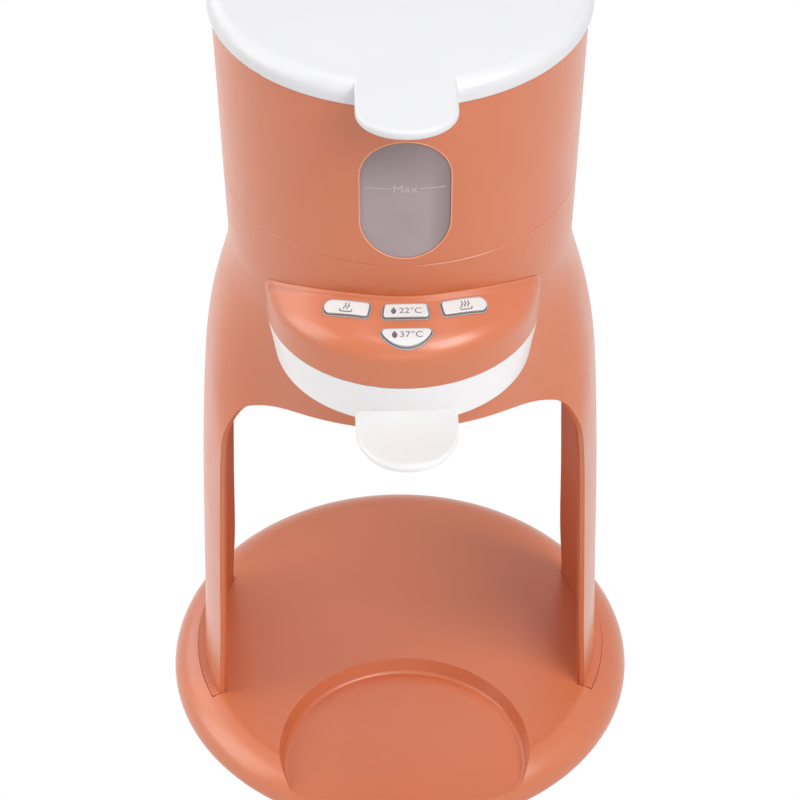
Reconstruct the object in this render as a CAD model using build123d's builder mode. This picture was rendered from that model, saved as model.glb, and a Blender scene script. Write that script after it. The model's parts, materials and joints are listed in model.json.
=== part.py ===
from build123d import *
import math
import os

# Baby formula maker: a round base, two curved legs, and a water-heating head that stands over the bottle.
# Frame: +Z up, origin at the centre of the base's underside, front towards -Y.
# Lengths in mm, angles in degrees.

# ---- driving dimensions -----------------------------------------------------------------------------------
# base
BASE_RADIUS = 86.0
BASE_TOP = 16.0
BASE_EDGE_RUN = 13.0        # width of the pebble-shaped edge
BASE_EDGE_WIDEST = 4.5      # height at which the base is widest
BASE_LIFT = 1.5             # gap under the plate that the feet leave
BASE_WALL = 2.2
PLATE_THICKNESS = 2.0
POCKET_RADIUS = 45.8
POCKET_SETBACK = 27.5       # the pocket's centre, in from the front of the base
POCKET_CENTRE_Y = POCKET_SETBACK - BASE_RADIUS
POCKET_DEPTH = 6.0
POCKET_DRAFT = 1.8
FOOT_RADIUS = 7.0
FOOT_CIRCLE = 64.0
FOOT_HEIGHT = 2.4
FOOT_CORNER = FOOT_CIRCLE * math.sqrt(0.5)
FEET = [(FOOT_CORNER, FOOT_CORNER), (-FOOT_CORNER, FOOT_CORNER), (-FOOT_CORNER, -FOOT_CORNER),
        (FOOT_CORNER, -FOOT_CORNER), (0.0, 0.0)]

# legs and saddle
HUB_RIM = 214.0             # height where the saddle meets the collar
HUB_RADIUS = 57.7
SADDLE_WALL = 1.8
LINER_WALL = 1.1
ARCH_CROWN = 171.0
ARCH_SPRING = 140.0         # height where the leg edge turns into the arch
ARCH_PULL = 1.22            # how strongly the arch holds on to the leg edge's line at its spring
FRONT_EDGE_ANGLE = 23.0     # the leg's front edge, behind the side axis by this angle at the base
FRONT_EDGE_ANGLE_HIGH = 25.3
REAR_EDGE_ANGLE = 27.3
REAR_EDGE_ANGLE_HIGH = 28.0
FLANGE_RADIUS = 76.8
FLANGE_INNER = 71.0
FLANGE_THICKNESS = 3.0
COVER_THICKNESS = 2.0
DECK_INNER_RADIUS = 44.0
DECK_THICKNESS = 2.2
COLLAR_FLANGE_RADIUS = 45.0
LINER_MARGIN = 0.8          # degrees that each leg liner stays back from the leg's edges
LINER_INNER_X = 50.0        # the liners reach this far in along the arch
POWER_BOARD_RISE = 11.0     # the power board's underside over the arch
POWER_BOARD_HEIGHT = ARCH_CROWN + POWER_BOARD_RISE
POWER_BOARD_LENGTH = 50.0
POWER_BOARD_WIDTH = 32.0
POWER_BOARD_Y = 27.0
TRANSFORMER_SIZE = (20.0, 17.0, 12.0)
RELAY_SIZE = (15.0, 8.0, 10.0)
CORD_RISE = 15.0            # the cord's way out over the arch
CORD_HEIGHT = ARCH_CROWN + CORD_RISE
GLAND_RADIUS = 5.0
POST_RADIUS = 3.5
FOOT_POST_RADIUS = 2.8

# collar, upper housing, lid
SEAM_HEIGHT = 240.5
SEAM_RADIUS = 58.4
SEAM_CHAMFER = 0.35         # on the collar's upper edge, so that the seam shows as a fine groove
LID_SEAM = 302.0
MOUTH_RADIUS = 60.0
HOUSING_WALL = 2.2
LID_TOP = 310.0
LID_RADIUS = 61.3
LID_WALL = 2.2
LID_EDGE = 4.5
TAB_WIDTH = 31.0
TAB_TIP_Y = -84.0
TAB_THICKNESS = 3.2
TAB_END = 13.0              # length of the tab's rounded end
TAB_ROOT_Y = -54.0
SEAL_HEIGHT = 1.2

# window and tank
WINDOW_RADIUS = 14.3
WINDOW_BOTTOM = 243.2
WINDOW_TOP = 288.8
LENS_THICKNESS = 1.8
TANK_RADIUS = 53.5
TANK_WALL = 1.8
TANK_FLOOR = 246.5
RIM_DROP = 2.4              # the tank's rim lies this far under the lid's seam
RIM_SEAT = 2.0              # and this far over the ledge that carries it
TANK_RIM = LID_SEAM - RIM_DROP
LEDGE_TOP = TANK_RIM - RIM_SEAT
LEDGE_RADIUS = 54.4
SOCKET_DEPTH = 4.0

# console and drawer
CONSOLE_RADIUS = 45.2
CONSOLE_CENTRE_Y = -32.4
CONSOLE_BOTTOM = 206.0
CONSOLE_TOP = 228.0         # height of the console's top where it meets the collar
CONSOLE_ROOT_RADIUS = 58.2  # radius of the collar there
CONSOLE_SLOPE = 21.0
CONSOLE_WALL = 2.0
CONSOLE_EDGE = 8.0
CONSOLE_FALL = 7.4          # how far the crowned top has fallen at FALL_X to each side
FALL_X = 33.0
FALL_POWER = 2.7
DRAWER_BOTTOM = 188.0
DRAWER_BOTTOM_RADIUS = 42.3
TRAY_HALF_WIDTH = 38.0
TRAY_FLANGE = 3.0
TRAY_REAR_Y = 5.0
FLANGE_HEIGHT = 2.8
CUP_RADIUS = 35.0
CUP_CENTRE_Y = -34.0
CUP_FLOOR = 190.8
SIEVE_RADIUS = 18.2
SIEVE_THICKNESS = 1.2
TONGUE_WIDTH = 33.2
TONGUE_STRAIGHT_Y = -78.0   # where the tongue's straight sides turn into its rounded end
TONGUE_TIP_Y = -97.6
TONGUE_TILT = 11.0
TONGUE_THICKNESS = 3.6
TONGUE_EDGE = 1.5
TONGUE_CROWN = 43.0         # radius of the tongue's crown, across its width
TONGUE_ROOT_Y = -76.5
TONGUE_ROOT_Z = 194.7
TONGUE_ROOT = 6.0           # how far the tongue runs into the drawer's front

# buttons
BUTTON_PROUD = 1.0
BUTTON_DEPTH = 3.3          # how far the cap reaches down through the panel, to its flange
BUTTON_FLANGE = 1.0
BUTTON_STEM = 0.8
BUTTON_TRAVEL = 0.9
BEZEL_WALL = 0.35
BEZEL_DEPTH = 3.0
BEZEL_PROUD = 0.1
ROW_RADIUS = 63.6           # distance of the upper button row from the axis
LOW_BUTTON_RADIUS = 69.7    # distance of the lower button's straight edge from the axis
SIDE_BUTTON_ANGLE = 17.2
ROW_BUTTON_HEIGHT = 4.8
SIDE_BUTTON_WIDTH = 14.8
MID_BUTTON_TOP = 13.2
MID_BUTTON_FOOT = 14.8
LOW_BUTTON_WIDTH = 16.8
LOW_BUTTON_HEIGHT = 6.2
SWITCH_SIDE = 4.4
SWITCH_GAP = 0.6
BOARD_DEPTH = 8.9           # of the control board under the console's top
BOARD_THICKNESS = 1.6
BOARD_POSTS = [(-28.4, -59.8), (28.4, -59.8), (-15.5, -68.6), (15.5, -68.6)]
PANEL_POSTS = [(-30.0, -52.5), (30.0, -52.5)]

# water path
VALVE_X = -30.0
VALVE_Y = 18.0
VALVE_SIDE = 18.0
COIL_RADIUS = 9.0
COIL_HEIGHT = 11.2
PLUNGER_RADIUS = 3.2
PLUNGER_LENGTH = 11.0
PLUNGER_TRAVEL = 2.0
SPRING_RADIUS = 2.3
SPRING_WIRE = 0.35
SPRING_TURNS = 3.5
STUB_RADIUS = 4.0
HEATER_X = 8.0
HEATER_Y = 6.0
HEATER_RADIUS = 21.0
HEATER_HEIGHT = 16.0
ELEMENT_RING = 13.0
ELEMENT_RADIUS = 3.2
SPIGOT_RADIUS = 2.0
SPIGOT_BORE = 1.2
SPIGOT_LENGTH = 5.0
HOSE_WALL = 1.15
NOZZLE_Y = -36.0
OUTLET_Y = -42.0
OUTLET_RADIUS = 8.6
FUNNEL_RADIUS = 20.0
FUNNEL_WALL = 1.4
FUNNEL_NECK = 178.0
NOZZLE_RADIUS = 5.0

# clearances
FIT = 0.15                  # between pieces that stay put
SLIDE = 0.3                 # between pieces that slide past each other
BORE_FIT = 0.08             # radial, around the plunger
SCREW_RADIUS = 1.4
SCREW_HEAD_RADIUS = 2.8
SCREW_HEAD_HEIGHT = 1.4
SCREW_FIT = 0.1

# ---- values worked out from them --------------------------------------------------------------------------
PLATE_TOP = BASE_LIFT + PLATE_THICKNESS
FLANGE_BOTTOM = BASE_TOP - FLANGE_THICKNESS
DECK_TOP = CONSOLE_BOTTOM - 1.2
FLANGE_TOP = DECK_TOP + 2.0             # the collar's inner flange, which the chassis lies on
CHASSIS_TOP = FLANGE_TOP + 2.0
SPIGOT_OUTER = HUB_RADIUS - SADDLE_WALL - FIT
SPIGOT_WALL = 1.8
CHASSIS_RADIUS = SPIGOT_OUTER - SPIGOT_WALL - FIT
TUNNEL_HALF_WIDTH = TRAY_HALF_WIDTH + TRAY_FLANGE + 1.2
DRAWER_TOP = CONSOLE_BOTTOM - SLIDE
TRAY_TOP = DRAWER_TOP
COIL_TOP = CHASSIS_TOP + COIL_HEIGHT
VALVE_TOP = COIL_TOP + VALVE_SIDE
PLUNGER_TOP = COIL_TOP + 5.9
HEATER_BOTTOM = CHASSIS_TOP + 3.2
HEATER_TOP = HEATER_BOTTOM + HEATER_HEIGHT
HOSE_HEIGHT = HEATER_TOP - 4.0
BORE_RADIUS = PLUNGER_RADIUS + BORE_FIT

# The saddle's plan is a round hub whose sides swell out into the legs. Each station gives the height, the
# radius at the side, and the angles from the side axis at which the swelling starts to fade and ends.
STATIONS = [
    (FLANGE_BOTTOM, 73.9, 34.0, 60.0),
    (38.0, 73.0, 34.0, 60.0),
    (62.0, 72.2, 34.0, 60.0),
    (88.0, 71.4, 33.0, 59.0),
    (115.0, 70.4, 31.0, 57.0),
    (140.0, 69.1, 26.0, 54.0),
    (160.0, 67.7, 18.0, 49.0),
    (175.0, 66.0, 16.0, 48.0),
    (185.0, 64.2, 16.0, 48.0),
    (194.0, 61.9, 16.0, 48.0),
    (202.0, 59.6, 16.0, 48.0),
    (208.0, 58.3, 16.0, 48.0),
    (HUB_RIM, HUB_RADIUS, 16.0, 48.0),
]
PLAN_POINTS = 36            # points of each plan outline, the same on every station
LEG_POSTS = [(-47.6, -8.0), (47.6, -8.0), (-30.0, 38.0), (30.0, 38.0)]
COVER_LINE = [(0.0, 171.4), (27.0, 170.8), (42.0, 166.8), (49.0, 164.4), (54.5, 160.4), (59.5, 153.4),
              (63.2, 146.8), (66.8, 140.0)]
POST_FEET = [168.7, 168.7, 173.6, 173.6]        # height of each post's lower end, over the cover
COVER_SCREW_HEADS = [164.0, 164.0, 169.8, 169.8]
FOOT_SCREW_ANGLES = [-13.0, 16.0]
FOOT_SCREW_CIRCLE = 73.9
PLATE_SCREWS = [(0.0, 62.0), (0.0, 20.0)]

os.makedirs("parts", exist_ok=True)


def save(piece, label):
    piece.label = label
    export_step(piece, f"parts/{label}.step")


def swelling(angle, start, end):
    """Share of the side swelling at an angle from the nearest side axis: 1 at the side, 0 on the hub."""
    if angle <= start:
        return 1.0
    if angle >= end:
        return 0.0
    return 0.5 * (1 + math.cos(math.pi * (angle - start) / (end - start)))


def plan_point(degrees, side_radius, start, end, inset):
    from_side = abs((degrees + 90) % 180 - 90)
    hub = min(HUB_RADIUS, side_radius)
    radius = hub + (side_radius - hub) * swelling(from_side, start, end) - inset
    return (radius * math.cos(math.radians(degrees)), radius * math.sin(math.radians(degrees)))


def saddle_form(inset, beyond=0.0):
    """The saddle and legs as one solid form, drawn in by inset and run on past both ends."""
    with BuildPart() as form:
        for number, (height, side_radius, start, end) in enumerate(STATIONS):
            level = height
            if number == 0:
                level = height - beyond
            if number == len(STATIONS) - 1:
                level = height + beyond
            with BuildSketch(Plane.XY.offset(level)):
                with BuildLine():
                    add(Edge.make_spline([plan_point(360 * k / PLAN_POINTS, side_radius, start, end, inset)
                                          for k in range(PLAN_POINTS)],
                                         parameters=[k / PLAN_POINTS for k in range(PLAN_POINTS + 1)],
                                         periodic=True))
                make_face()
        loft()
    return form.part


def arch_opening(side, edge_angle, edge_angle_high):
    """Fan-shaped cutter between the legs, with edges that point at the axis. side is -1 front, 1 rear."""
    foot = math.tan(math.radians(90 - edge_angle))
    high = math.tan(math.radians(90 - edge_angle_high))
    crown = [(high, ARCH_SPRING), (0.907 * high, 152.0), (0.786 * high, 160.0), (0.627 * high, 164.3),
             (0.425 * high, 167.6), (0.21 * high, 170.3), (0.0, ARCH_CROWN)]
    crown += [(-x, z) for x, z in reversed(crown[:-1])]
    rise = (ARCH_SPRING - BASE_TOP, foot - high)
    low = foot + (foot - high) * (BASE_TOP - PLATE_TOP) / (ARCH_SPRING - BASE_TOP)
    # the same steps on both curves keep the loft's lines pointing at the axis
    steps = [k / (len(crown) - 1) for k in range(len(crown))]
    with BuildPart() as opening:
        for distance in (8.0, 95.0):
            with BuildSketch(Plane.XZ.offset(-side * distance)):
                with BuildLine():
                    run_up = (-rise[1] * distance * ARCH_PULL, rise[0] * ARCH_PULL)
                    curve = Edge.make_spline([(x * distance, z) for x, z in crown],
                                             tangents=[run_up, (run_up[0], -run_up[1])],
                                             parameters=steps, scale=False)
                    add(curve)
                    Polyline([curve @ 1, (-low * distance, PLATE_TOP), (low * distance, PLATE_TOP),
                              curve @ 0])
                make_face()
        loft(ruled=True)
    return opening.part


def sector(inner, outer, low, high, start, end):
    """Block of a ring between two radii, two heights and two angles."""
    with BuildPart() as block:
        with BuildSketch(Plane.XY.offset(low)):
            with BuildLine():
                arc = CenterArc((0, 0), outer, start, end - start)
                inside = CenterArc((0, 0), inner, start, end - start)
                Line(arc @ 0, inside @ 0)
                Line(arc @ 1, inside @ 1)
            make_face()
        extrude(amount=high - low)
    return block.part


def leg_angles(side, margin=0.0):
    """Start and end angle of a leg's foot. side is 1 for +X and -1 for -X."""
    if side > 0:
        return (-FRONT_EDGE_ANGLE + margin, REAR_EDGE_ANGLE - margin)
    return (180 - REAR_EDGE_ANGLE + margin, 180 + FRONT_EDGE_ANGLE - margin)


def foot_screw_places():
    places = []
    for side in (-1, 1):
        for angle in FOOT_SCREW_ANGLES:
            turn = angle if side > 0 else 180 - angle
            places.append((FOOT_SCREW_CIRCLE * math.cos(math.radians(turn)),
                           FOOT_SCREW_CIRCLE * math.sin(math.radians(turn))))
    return places


def screw_group(places, head_planes, length):
    """Screws whose countersunk heads lie flush with their planes. A negative length points down."""
    up = 1 if length > 0 else -1
    with BuildPart() as screws:
        for (x, y), head_plane in zip(places, head_planes):
            neck = Plane((x, y, head_plane + up * SCREW_HEAD_HEIGHT), x_dir=(1, 0, 0), z_dir=(0, 0, up))
            with BuildSketch(Plane((x, y, head_plane), x_dir=(1, 0, 0), z_dir=(0, 0, up))):
                Circle(SCREW_HEAD_RADIUS)
            with BuildSketch(neck):
                Circle(SCREW_RADIUS)
            loft()
            with BuildSketch(neck):
                Circle(SCREW_RADIUS)
            extrude(amount=abs(length) - SCREW_HEAD_HEIGHT)
    return screws.part


def crown_fall(x):
    """How far the console's crowned top lies under its middle line at a distance to the side."""
    return CONSOLE_FALL * (abs(x) / FALL_X) ** FALL_POWER


def console_height(x, y):
    """Height of the console's top, which slopes down to the front and falls away to the sides."""
    slope = math.tan(math.radians(CONSOLE_SLOPE))
    return CONSOLE_TOP + (y + CONSOLE_ROOT_RADIUS) * slope - crown_fall(x)


def button_plane(radius, degrees):
    """Plane that touches the console's top, x along the row and z outwards. degrees count from the front."""
    turn = math.radians(degrees)
    x, y = radius * math.sin(turn), -radius * math.cos(turn)
    rise_x = -math.copysign(FALL_POWER * crown_fall(x) / max(abs(x), 1), x)
    rise_y = math.tan(math.radians(CONSOLE_SLOPE))
    along = (math.cos(turn), math.sin(turn), rise_x * math.cos(turn) + rise_y * math.sin(turn))
    return Plane(origin=(x, y, console_height(x, y)), x_dir=along, z_dir=(-rise_x, -rise_y, 1))


def console_form(inset):
    """The console as a solid block with a crowned top and a rounded upper edge, drawn in by inset."""
    radius = CONSOLE_RADIUS - inset
    drop = inset / math.cos(math.radians(CONSOLE_SLOPE))
    far = CONSOLE_RADIUS + 10
    crown = [far * share for share in (-1, -0.8, -0.6, -0.4, -0.2, 0, 0.2, 0.4, 0.6, 0.8, 1)]
    # the crown's outline stands at y = 0 and is drawn down the slope towards the front
    down_slope = (0, -1, -math.tan(math.radians(CONSOLE_SLOPE)))
    with BuildPart() as crowned:
        with BuildSketch(Plane.XZ):
            with BuildLine():
                top = Spline([(x, console_height(x, 0) - drop) for x in crown])
                Polyline([top @ 1, (far, CONSOLE_BOTTOM - 60), (-far, CONSOLE_BOTTOM - 60), top @ 0])
            make_face()
        extrude(amount=100 / math.cos(math.radians(CONSOLE_SLOPE)), dir=down_slope)
    with BuildPart() as block:
        with BuildSketch(Plane.XY.offset(CONSOLE_BOTTOM)):
            with Locations((0, CONSOLE_CENTRE_Y)):
                Circle(radius)
            with Locations((0, CONSOLE_CENTRE_Y / 2 - 6)):
                Rectangle(2 * radius, -CONSOLE_CENTRE_Y - 12)
        extrude(amount=CONSOLE_TOP + 40 - CONSOLE_BOTTOM)
        add(crowned.part, mode=Mode.INTERSECT)
        upper = block.edges().filter_by(
            lambda e: e.center().Z > CONSOLE_BOTTOM + 4 and abs(e.tangent_at(0.5).Z) < 0.8
            and e.center().Y < -20)
        fillet(upper, radius=CONSOLE_EDGE - inset)
    return block.part


FLUSH = (Align.CENTER, Align.CENTER, Align.MIN)
outer_form = saddle_form(0.0)
inner_form = saddle_form(SADDLE_WALL, beyond=1.0)
liner_form = saddle_form(SADDLE_WALL + FIT, beyond=1.0)
bay_form = saddle_form(SADDLE_WALL + FIT + LINER_WALL, beyond=1.0)
clear_form = saddle_form(-SLIDE, beyond=1.0)
front_opening = arch_opening(-1, FRONT_EDGE_ANGLE, FRONT_EDGE_ANGLE_HIGH)
rear_opening = arch_opening(1, REAR_EDGE_ANGLE, REAR_EDGE_ANGLE_HIGH)

# ---- base -------------------------------------------------------------------------------------------------
flat_radius = BASE_RADIUS - BASE_EDGE_RUN
rim_inner = BASE_RADIUS - 4.6
cavity_top = BASE_TOP - BASE_WALL

with BuildPart() as base_cavity:
    with BuildSketch(Plane.XZ):
        with BuildLine():
            Polyline([(0, BASE_LIFT - 1), (rim_inner, BASE_LIFT - 1), (rim_inner, BASE_EDGE_WIDEST)])
            EllipticalCenterArc((flat_radius - 1, BASE_EDGE_WIDEST), rim_inner - flat_radius + 1,
                                cavity_top - BASE_EDGE_WIDEST, start_angle=0, arc_size=90)
            Polyline([(flat_radius - 1, cavity_top), (0, cavity_top), (0, BASE_LIFT - 1)])
        make_face()
    revolve(axis=Axis.Z)
    # the pocket's cup and the ledges under the legs stay solid
    with Locations((0, POCKET_CENTRE_Y, BASE_TOP - POCKET_DEPTH - BASE_WALL)):
        Cylinder(POCKET_RADIUS + BASE_WALL, POCKET_DEPTH + 2 * BASE_WALL, align=FLUSH, mode=Mode.SUBTRACT)
    for side in (-1, 1):
        start, end = leg_angles(side, margin=-3)
        add(sector(FLANGE_RADIUS - 9, FLANGE_RADIUS + BASE_WALL, FLANGE_BOTTOM - BASE_WALL, BASE_TOP,
                   start, end), mode=Mode.SUBTRACT)
    with Locations(*[(x, y, PLATE_TOP) for x, y in PLATE_SCREWS]):
        Cylinder(POST_RADIUS, BASE_TOP, align=FLUSH, mode=Mode.SUBTRACT)

with BuildPart() as base_shell:
    with BuildSketch(Plane.XZ):
        with BuildLine():
            EllipticalCenterArc((flat_radius, BASE_EDGE_WIDEST), BASE_EDGE_RUN,
                                BASE_TOP - BASE_EDGE_WIDEST, start_angle=0, arc_size=90)
            Line((flat_radius, BASE_TOP), (0, BASE_TOP))
            Line((0, BASE_TOP), (0, BASE_LIFT))
            Line((0, BASE_LIFT), (BASE_RADIUS - 3, BASE_LIFT))
            RadiusArc((BASE_RADIUS - 3, BASE_LIFT), (BASE_RADIUS, BASE_EDGE_WIDEST), -3.0)
        make_face()
    revolve(axis=Axis.Z)
    add(base_cavity.part, mode=Mode.SUBTRACT)
    with BuildSketch(Plane.XY.offset(BASE_TOP - POCKET_DEPTH)):
        with Locations((0, POCKET_CENTRE_Y)):
            Circle(POCKET_RADIUS - POCKET_DRAFT)
    with BuildSketch(Plane.XY.offset(BASE_TOP + POCKET_DEPTH)):
        with Locations((0, POCKET_CENTRE_Y)):
            Circle(POCKET_RADIUS + POCKET_DRAFT)
    loft(mode=Mode.SUBTRACT)
    for side in (-1, 1):
        start, end = leg_angles(side, margin=-0.2)
        add(sector(FLANGE_INNER - FIT, FLANGE_RADIUS + FIT, FLANGE_BOTTOM, BASE_TOP + 1, start, end),
            mode=Mode.SUBTRACT)
    with Locations(*[(x, y, 0) for x, y in foot_screw_places()]):
        Cylinder(FOOT_POST_RADIUS + FIT, BASE_TOP, align=FLUSH, mode=Mode.SUBTRACT)
    with Locations(*[(x, y, 0) for x, y in PLATE_SCREWS]):
        Cylinder(SCREW_RADIUS + SCREW_FIT, BASE_TOP - 4, align=FLUSH, mode=Mode.SUBTRACT)
    crease = base_shell.edges().filter_by(GeomType.CIRCLE).filter_by(
        lambda e: abs(e.center().Z - (BASE_TOP - POCKET_DEPTH)) < 0.1 and e.radius < POCKET_RADIUS)
    fillet(crease, radius=1.5)
save(base_shell.part, "base_shell")

with BuildPart() as base_plate:
    with Locations((0, 0, BASE_LIFT)):
        Cylinder(rim_inner - FIT, PLATE_THICKNESS, align=FLUSH)
    with Locations(*[(x, y, BASE_LIFT) for x, y in foot_screw_places() + PLATE_SCREWS]):
        Cone(SCREW_HEAD_RADIUS + SCREW_FIT, SCREW_RADIUS + SCREW_FIT, 1.4, align=FLUSH, mode=Mode.SUBTRACT)
        Cylinder(SCREW_RADIUS + SCREW_FIT, PLATE_THICKNESS, align=FLUSH, mode=Mode.SUBTRACT)
    with Locations(*[(x, y, BASE_LIFT) for x, y in FEET]):
        Cylinder(FOOT_RADIUS + FIT, FOOT_HEIGHT - BASE_LIFT, align=FLUSH, mode=Mode.SUBTRACT)
save(base_plate.part, "base_plate")

with BuildPart() as base_feet:
    with Locations(*FEET):
        Cylinder(FOOT_RADIUS, FOOT_HEIGHT, align=FLUSH)
    chamfer(base_feet.edges().filter_by(lambda e: abs(e.center().Z) < 0.01), length=0.5)
save(base_feet.part, "base_feet")

save(screw_group(foot_screw_places() + PLATE_SCREWS, [BASE_LIFT] * 6, 10), "base_screws")

# ---- legs and saddle --------------------------------------------------------------------------------------
with BuildPart() as deck:
    with Locations((0, 0, DECK_TOP - DECK_THICKNESS)):
        Cylinder(BASE_RADIUS, DECK_THICKNESS, align=FLUSH)
        Cylinder(DECK_INNER_RADIUS, DECK_THICKNESS, align=FLUSH, mode=Mode.SUBTRACT)
    add(outer_form, mode=Mode.INTERSECT)

with BuildPart() as leg_housing:
    add(outer_form)
    add(inner_form, mode=Mode.SUBTRACT)
    add(deck.part)
    for (x, y), foot in zip(LEG_POSTS, POST_FEET):
        with Locations((x, y, foot)):
            Cylinder(POST_RADIUS, DECK_TOP - foot, align=FLUSH)
    # drawer tunnel and wiring notch
    with Locations((0, TRAY_REAR_Y + 3, DRAWER_BOTTOM - 0.5)):
        Box(2 * (TRAY_HALF_WIDTH + SLIDE), 100, CONSOLE_BOTTOM - DRAWER_BOTTOM + 0.5,
            align=(Align.CENTER, Align.MAX, Align.MIN), mode=Mode.SUBTRACT)
    with Locations((0, TRAY_REAR_Y + 3, TRAY_TOP - FLANGE_HEIGHT - SLIDE)):
        Box(2 * TUNNEL_HALF_WIDTH, 100, CONSOLE_BOTTOM - TRAY_TOP + FLANGE_HEIGHT + SLIDE,
            align=(Align.CENTER, Align.MAX, Align.MIN), mode=Mode.SUBTRACT)
    with Locations((0, -30, CONSOLE_BOTTOM - 1)):
        Box(2 * TRAY_HALF_WIDTH, 60, 20, align=(Align.CENTER, Align.MAX, Align.MIN), mode=Mode.SUBTRACT)
    add(front_opening, mode=Mode.SUBTRACT)
    add(rear_opening, mode=Mode.SUBTRACT)
    # foot flanges, let into the base top, with a screw post under each end
    for side in (-1, 1):
        start, end = leg_angles(side)
        add(sector(FLANGE_INNER, FLANGE_RADIUS, FLANGE_BOTTOM, BASE_TOP, start, end))
    with Locations(*[(x, y, PLATE_TOP) for x, y in foot_screw_places()]):
        Cylinder(FOOT_POST_RADIUS, FLANGE_BOTTOM - PLATE_TOP + 1, align=FLUSH)
    with Locations(*[(x, y, PLATE_TOP) for x, y in foot_screw_places()]):
        Cylinder(SCREW_RADIUS + SCREW_FIT, 9.5, align=FLUSH, mode=Mode.SUBTRACT)
    with Locations(*[(x, y, DECK_TOP) for x, y in LEG_POSTS]):
        Cylinder(SCREW_RADIUS + SCREW_FIT, 20, mode=Mode.SUBTRACT)
    for (x, y), foot in zip(LEG_POSTS, POST_FEET):
        with Locations((x, y, foot - 1)):
            Cylinder(SCREW_RADIUS + SCREW_FIT, 11, align=FLUSH, mode=Mode.SUBTRACT)
    with Locations(Location((0, HUB_RADIUS, CORD_HEIGHT), (90, 0, 0))):
        Cylinder(GLAND_RADIUS + FIT, 20, mode=Mode.SUBTRACT)
save(leg_housing.part, "leg_housing")

cover_line = [(-x, z) for x, z in reversed(COVER_LINE[1:])] + COVER_LINE
cover_end_x, cover_end_z = COVER_LINE[-1]

# everything above the cover's lower face
with BuildPart() as above_cover:
    with BuildSketch(Plane.XZ.offset(-80)):
        with BuildLine():
            lower = Spline([(x, z - SLIDE) for x, z in cover_line])
            Polyline([lower @ 1, (cover_end_x + 20, cover_end_z - SLIDE), (cover_end_x + 20, HUB_RIM + 5),
                      (-cover_end_x - 20, HUB_RIM + 5), (-cover_end_x - 20, cover_end_z - SLIDE), lower @ 0])
        make_face()
    extrude(amount=160)

liner_front = arch_opening(-1, FRONT_EDGE_ANGLE - LINER_MARGIN, FRONT_EDGE_ANGLE_HIGH - LINER_MARGIN)
liner_rear = arch_opening(1, REAR_EDGE_ANGLE - LINER_MARGIN, REAR_EDGE_ANGLE_HIGH - LINER_MARGIN)

for side, label in ((-1, "leg_liner_left"), (1, "leg_liner_right")):
    with BuildPart() as leg_liner:
        add(liner_form)
        add(bay_form, mode=Mode.SUBTRACT)
        add(liner_front, mode=Mode.SUBTRACT)
        add(liner_rear, mode=Mode.SUBTRACT)
        with Locations((side * LINER_INNER_X, 0, BASE_TOP + FIT)):
            Box(BASE_RADIUS, 2 * BASE_RADIUS, DECK_TOP - BASE_TOP,
                align=(Align.MIN if side > 0 else Align.MAX, Align.CENTER, Align.MIN), mode=Mode.INTERSECT)
        add(above_cover.part, mode=Mode.SUBTRACT)
    save(leg_liner.part, label)

with BuildPart() as underside_cover:
    with BuildSketch(Plane.XZ.offset(-80)):
        with BuildLine():
            lower = Spline(cover_line)
            upper = Spline([(x, z + COVER_THICKNESS) for x, z in cover_line])
            Line(lower @ 0, upper @ 0)
            Line(lower @ 1, upper @ 1)
        make_face()
    extrude(amount=160)
    add(liner_form, mode=Mode.INTERSECT)
    with Locations((0, OUTLET_Y, ARCH_CROWN)):
        Cylinder(OUTLET_RADIUS + FIT, 20, mode=Mode.SUBTRACT)
    # standoffs that carry the power board
    with Locations((0, POWER_BOARD_Y, ARCH_CROWN + 1)):
        with GridLocations(POWER_BOARD_LENGTH - 6, POWER_BOARD_WIDTH - 6, 2, 2):
            Cylinder(2.6, POWER_BOARD_HEIGHT - ARCH_CROWN - 1, align=FLUSH)
    for (x, y), head in zip(LEG_POSTS, COVER_SCREW_HEADS):
        with Locations((x, y, head)):
            Cone(SCREW_HEAD_RADIUS + SCREW_FIT, SCREW_RADIUS + SCREW_FIT, SCREW_HEAD_HEIGHT, align=FLUSH,
                 mode=Mode.SUBTRACT)
            Cylinder(SCREW_HEAD_RADIUS + SCREW_FIT, 10, align=(Align.CENTER, Align.CENTER, Align.MAX),
                     mode=Mode.SUBTRACT)
            Cylinder(SCREW_RADIUS + SCREW_FIT, 20, mode=Mode.SUBTRACT)
save(underside_cover.part, "underside_cover")

save(screw_group(LEG_POSTS, COVER_SCREW_HEADS, 11), "cover_screws")

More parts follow.
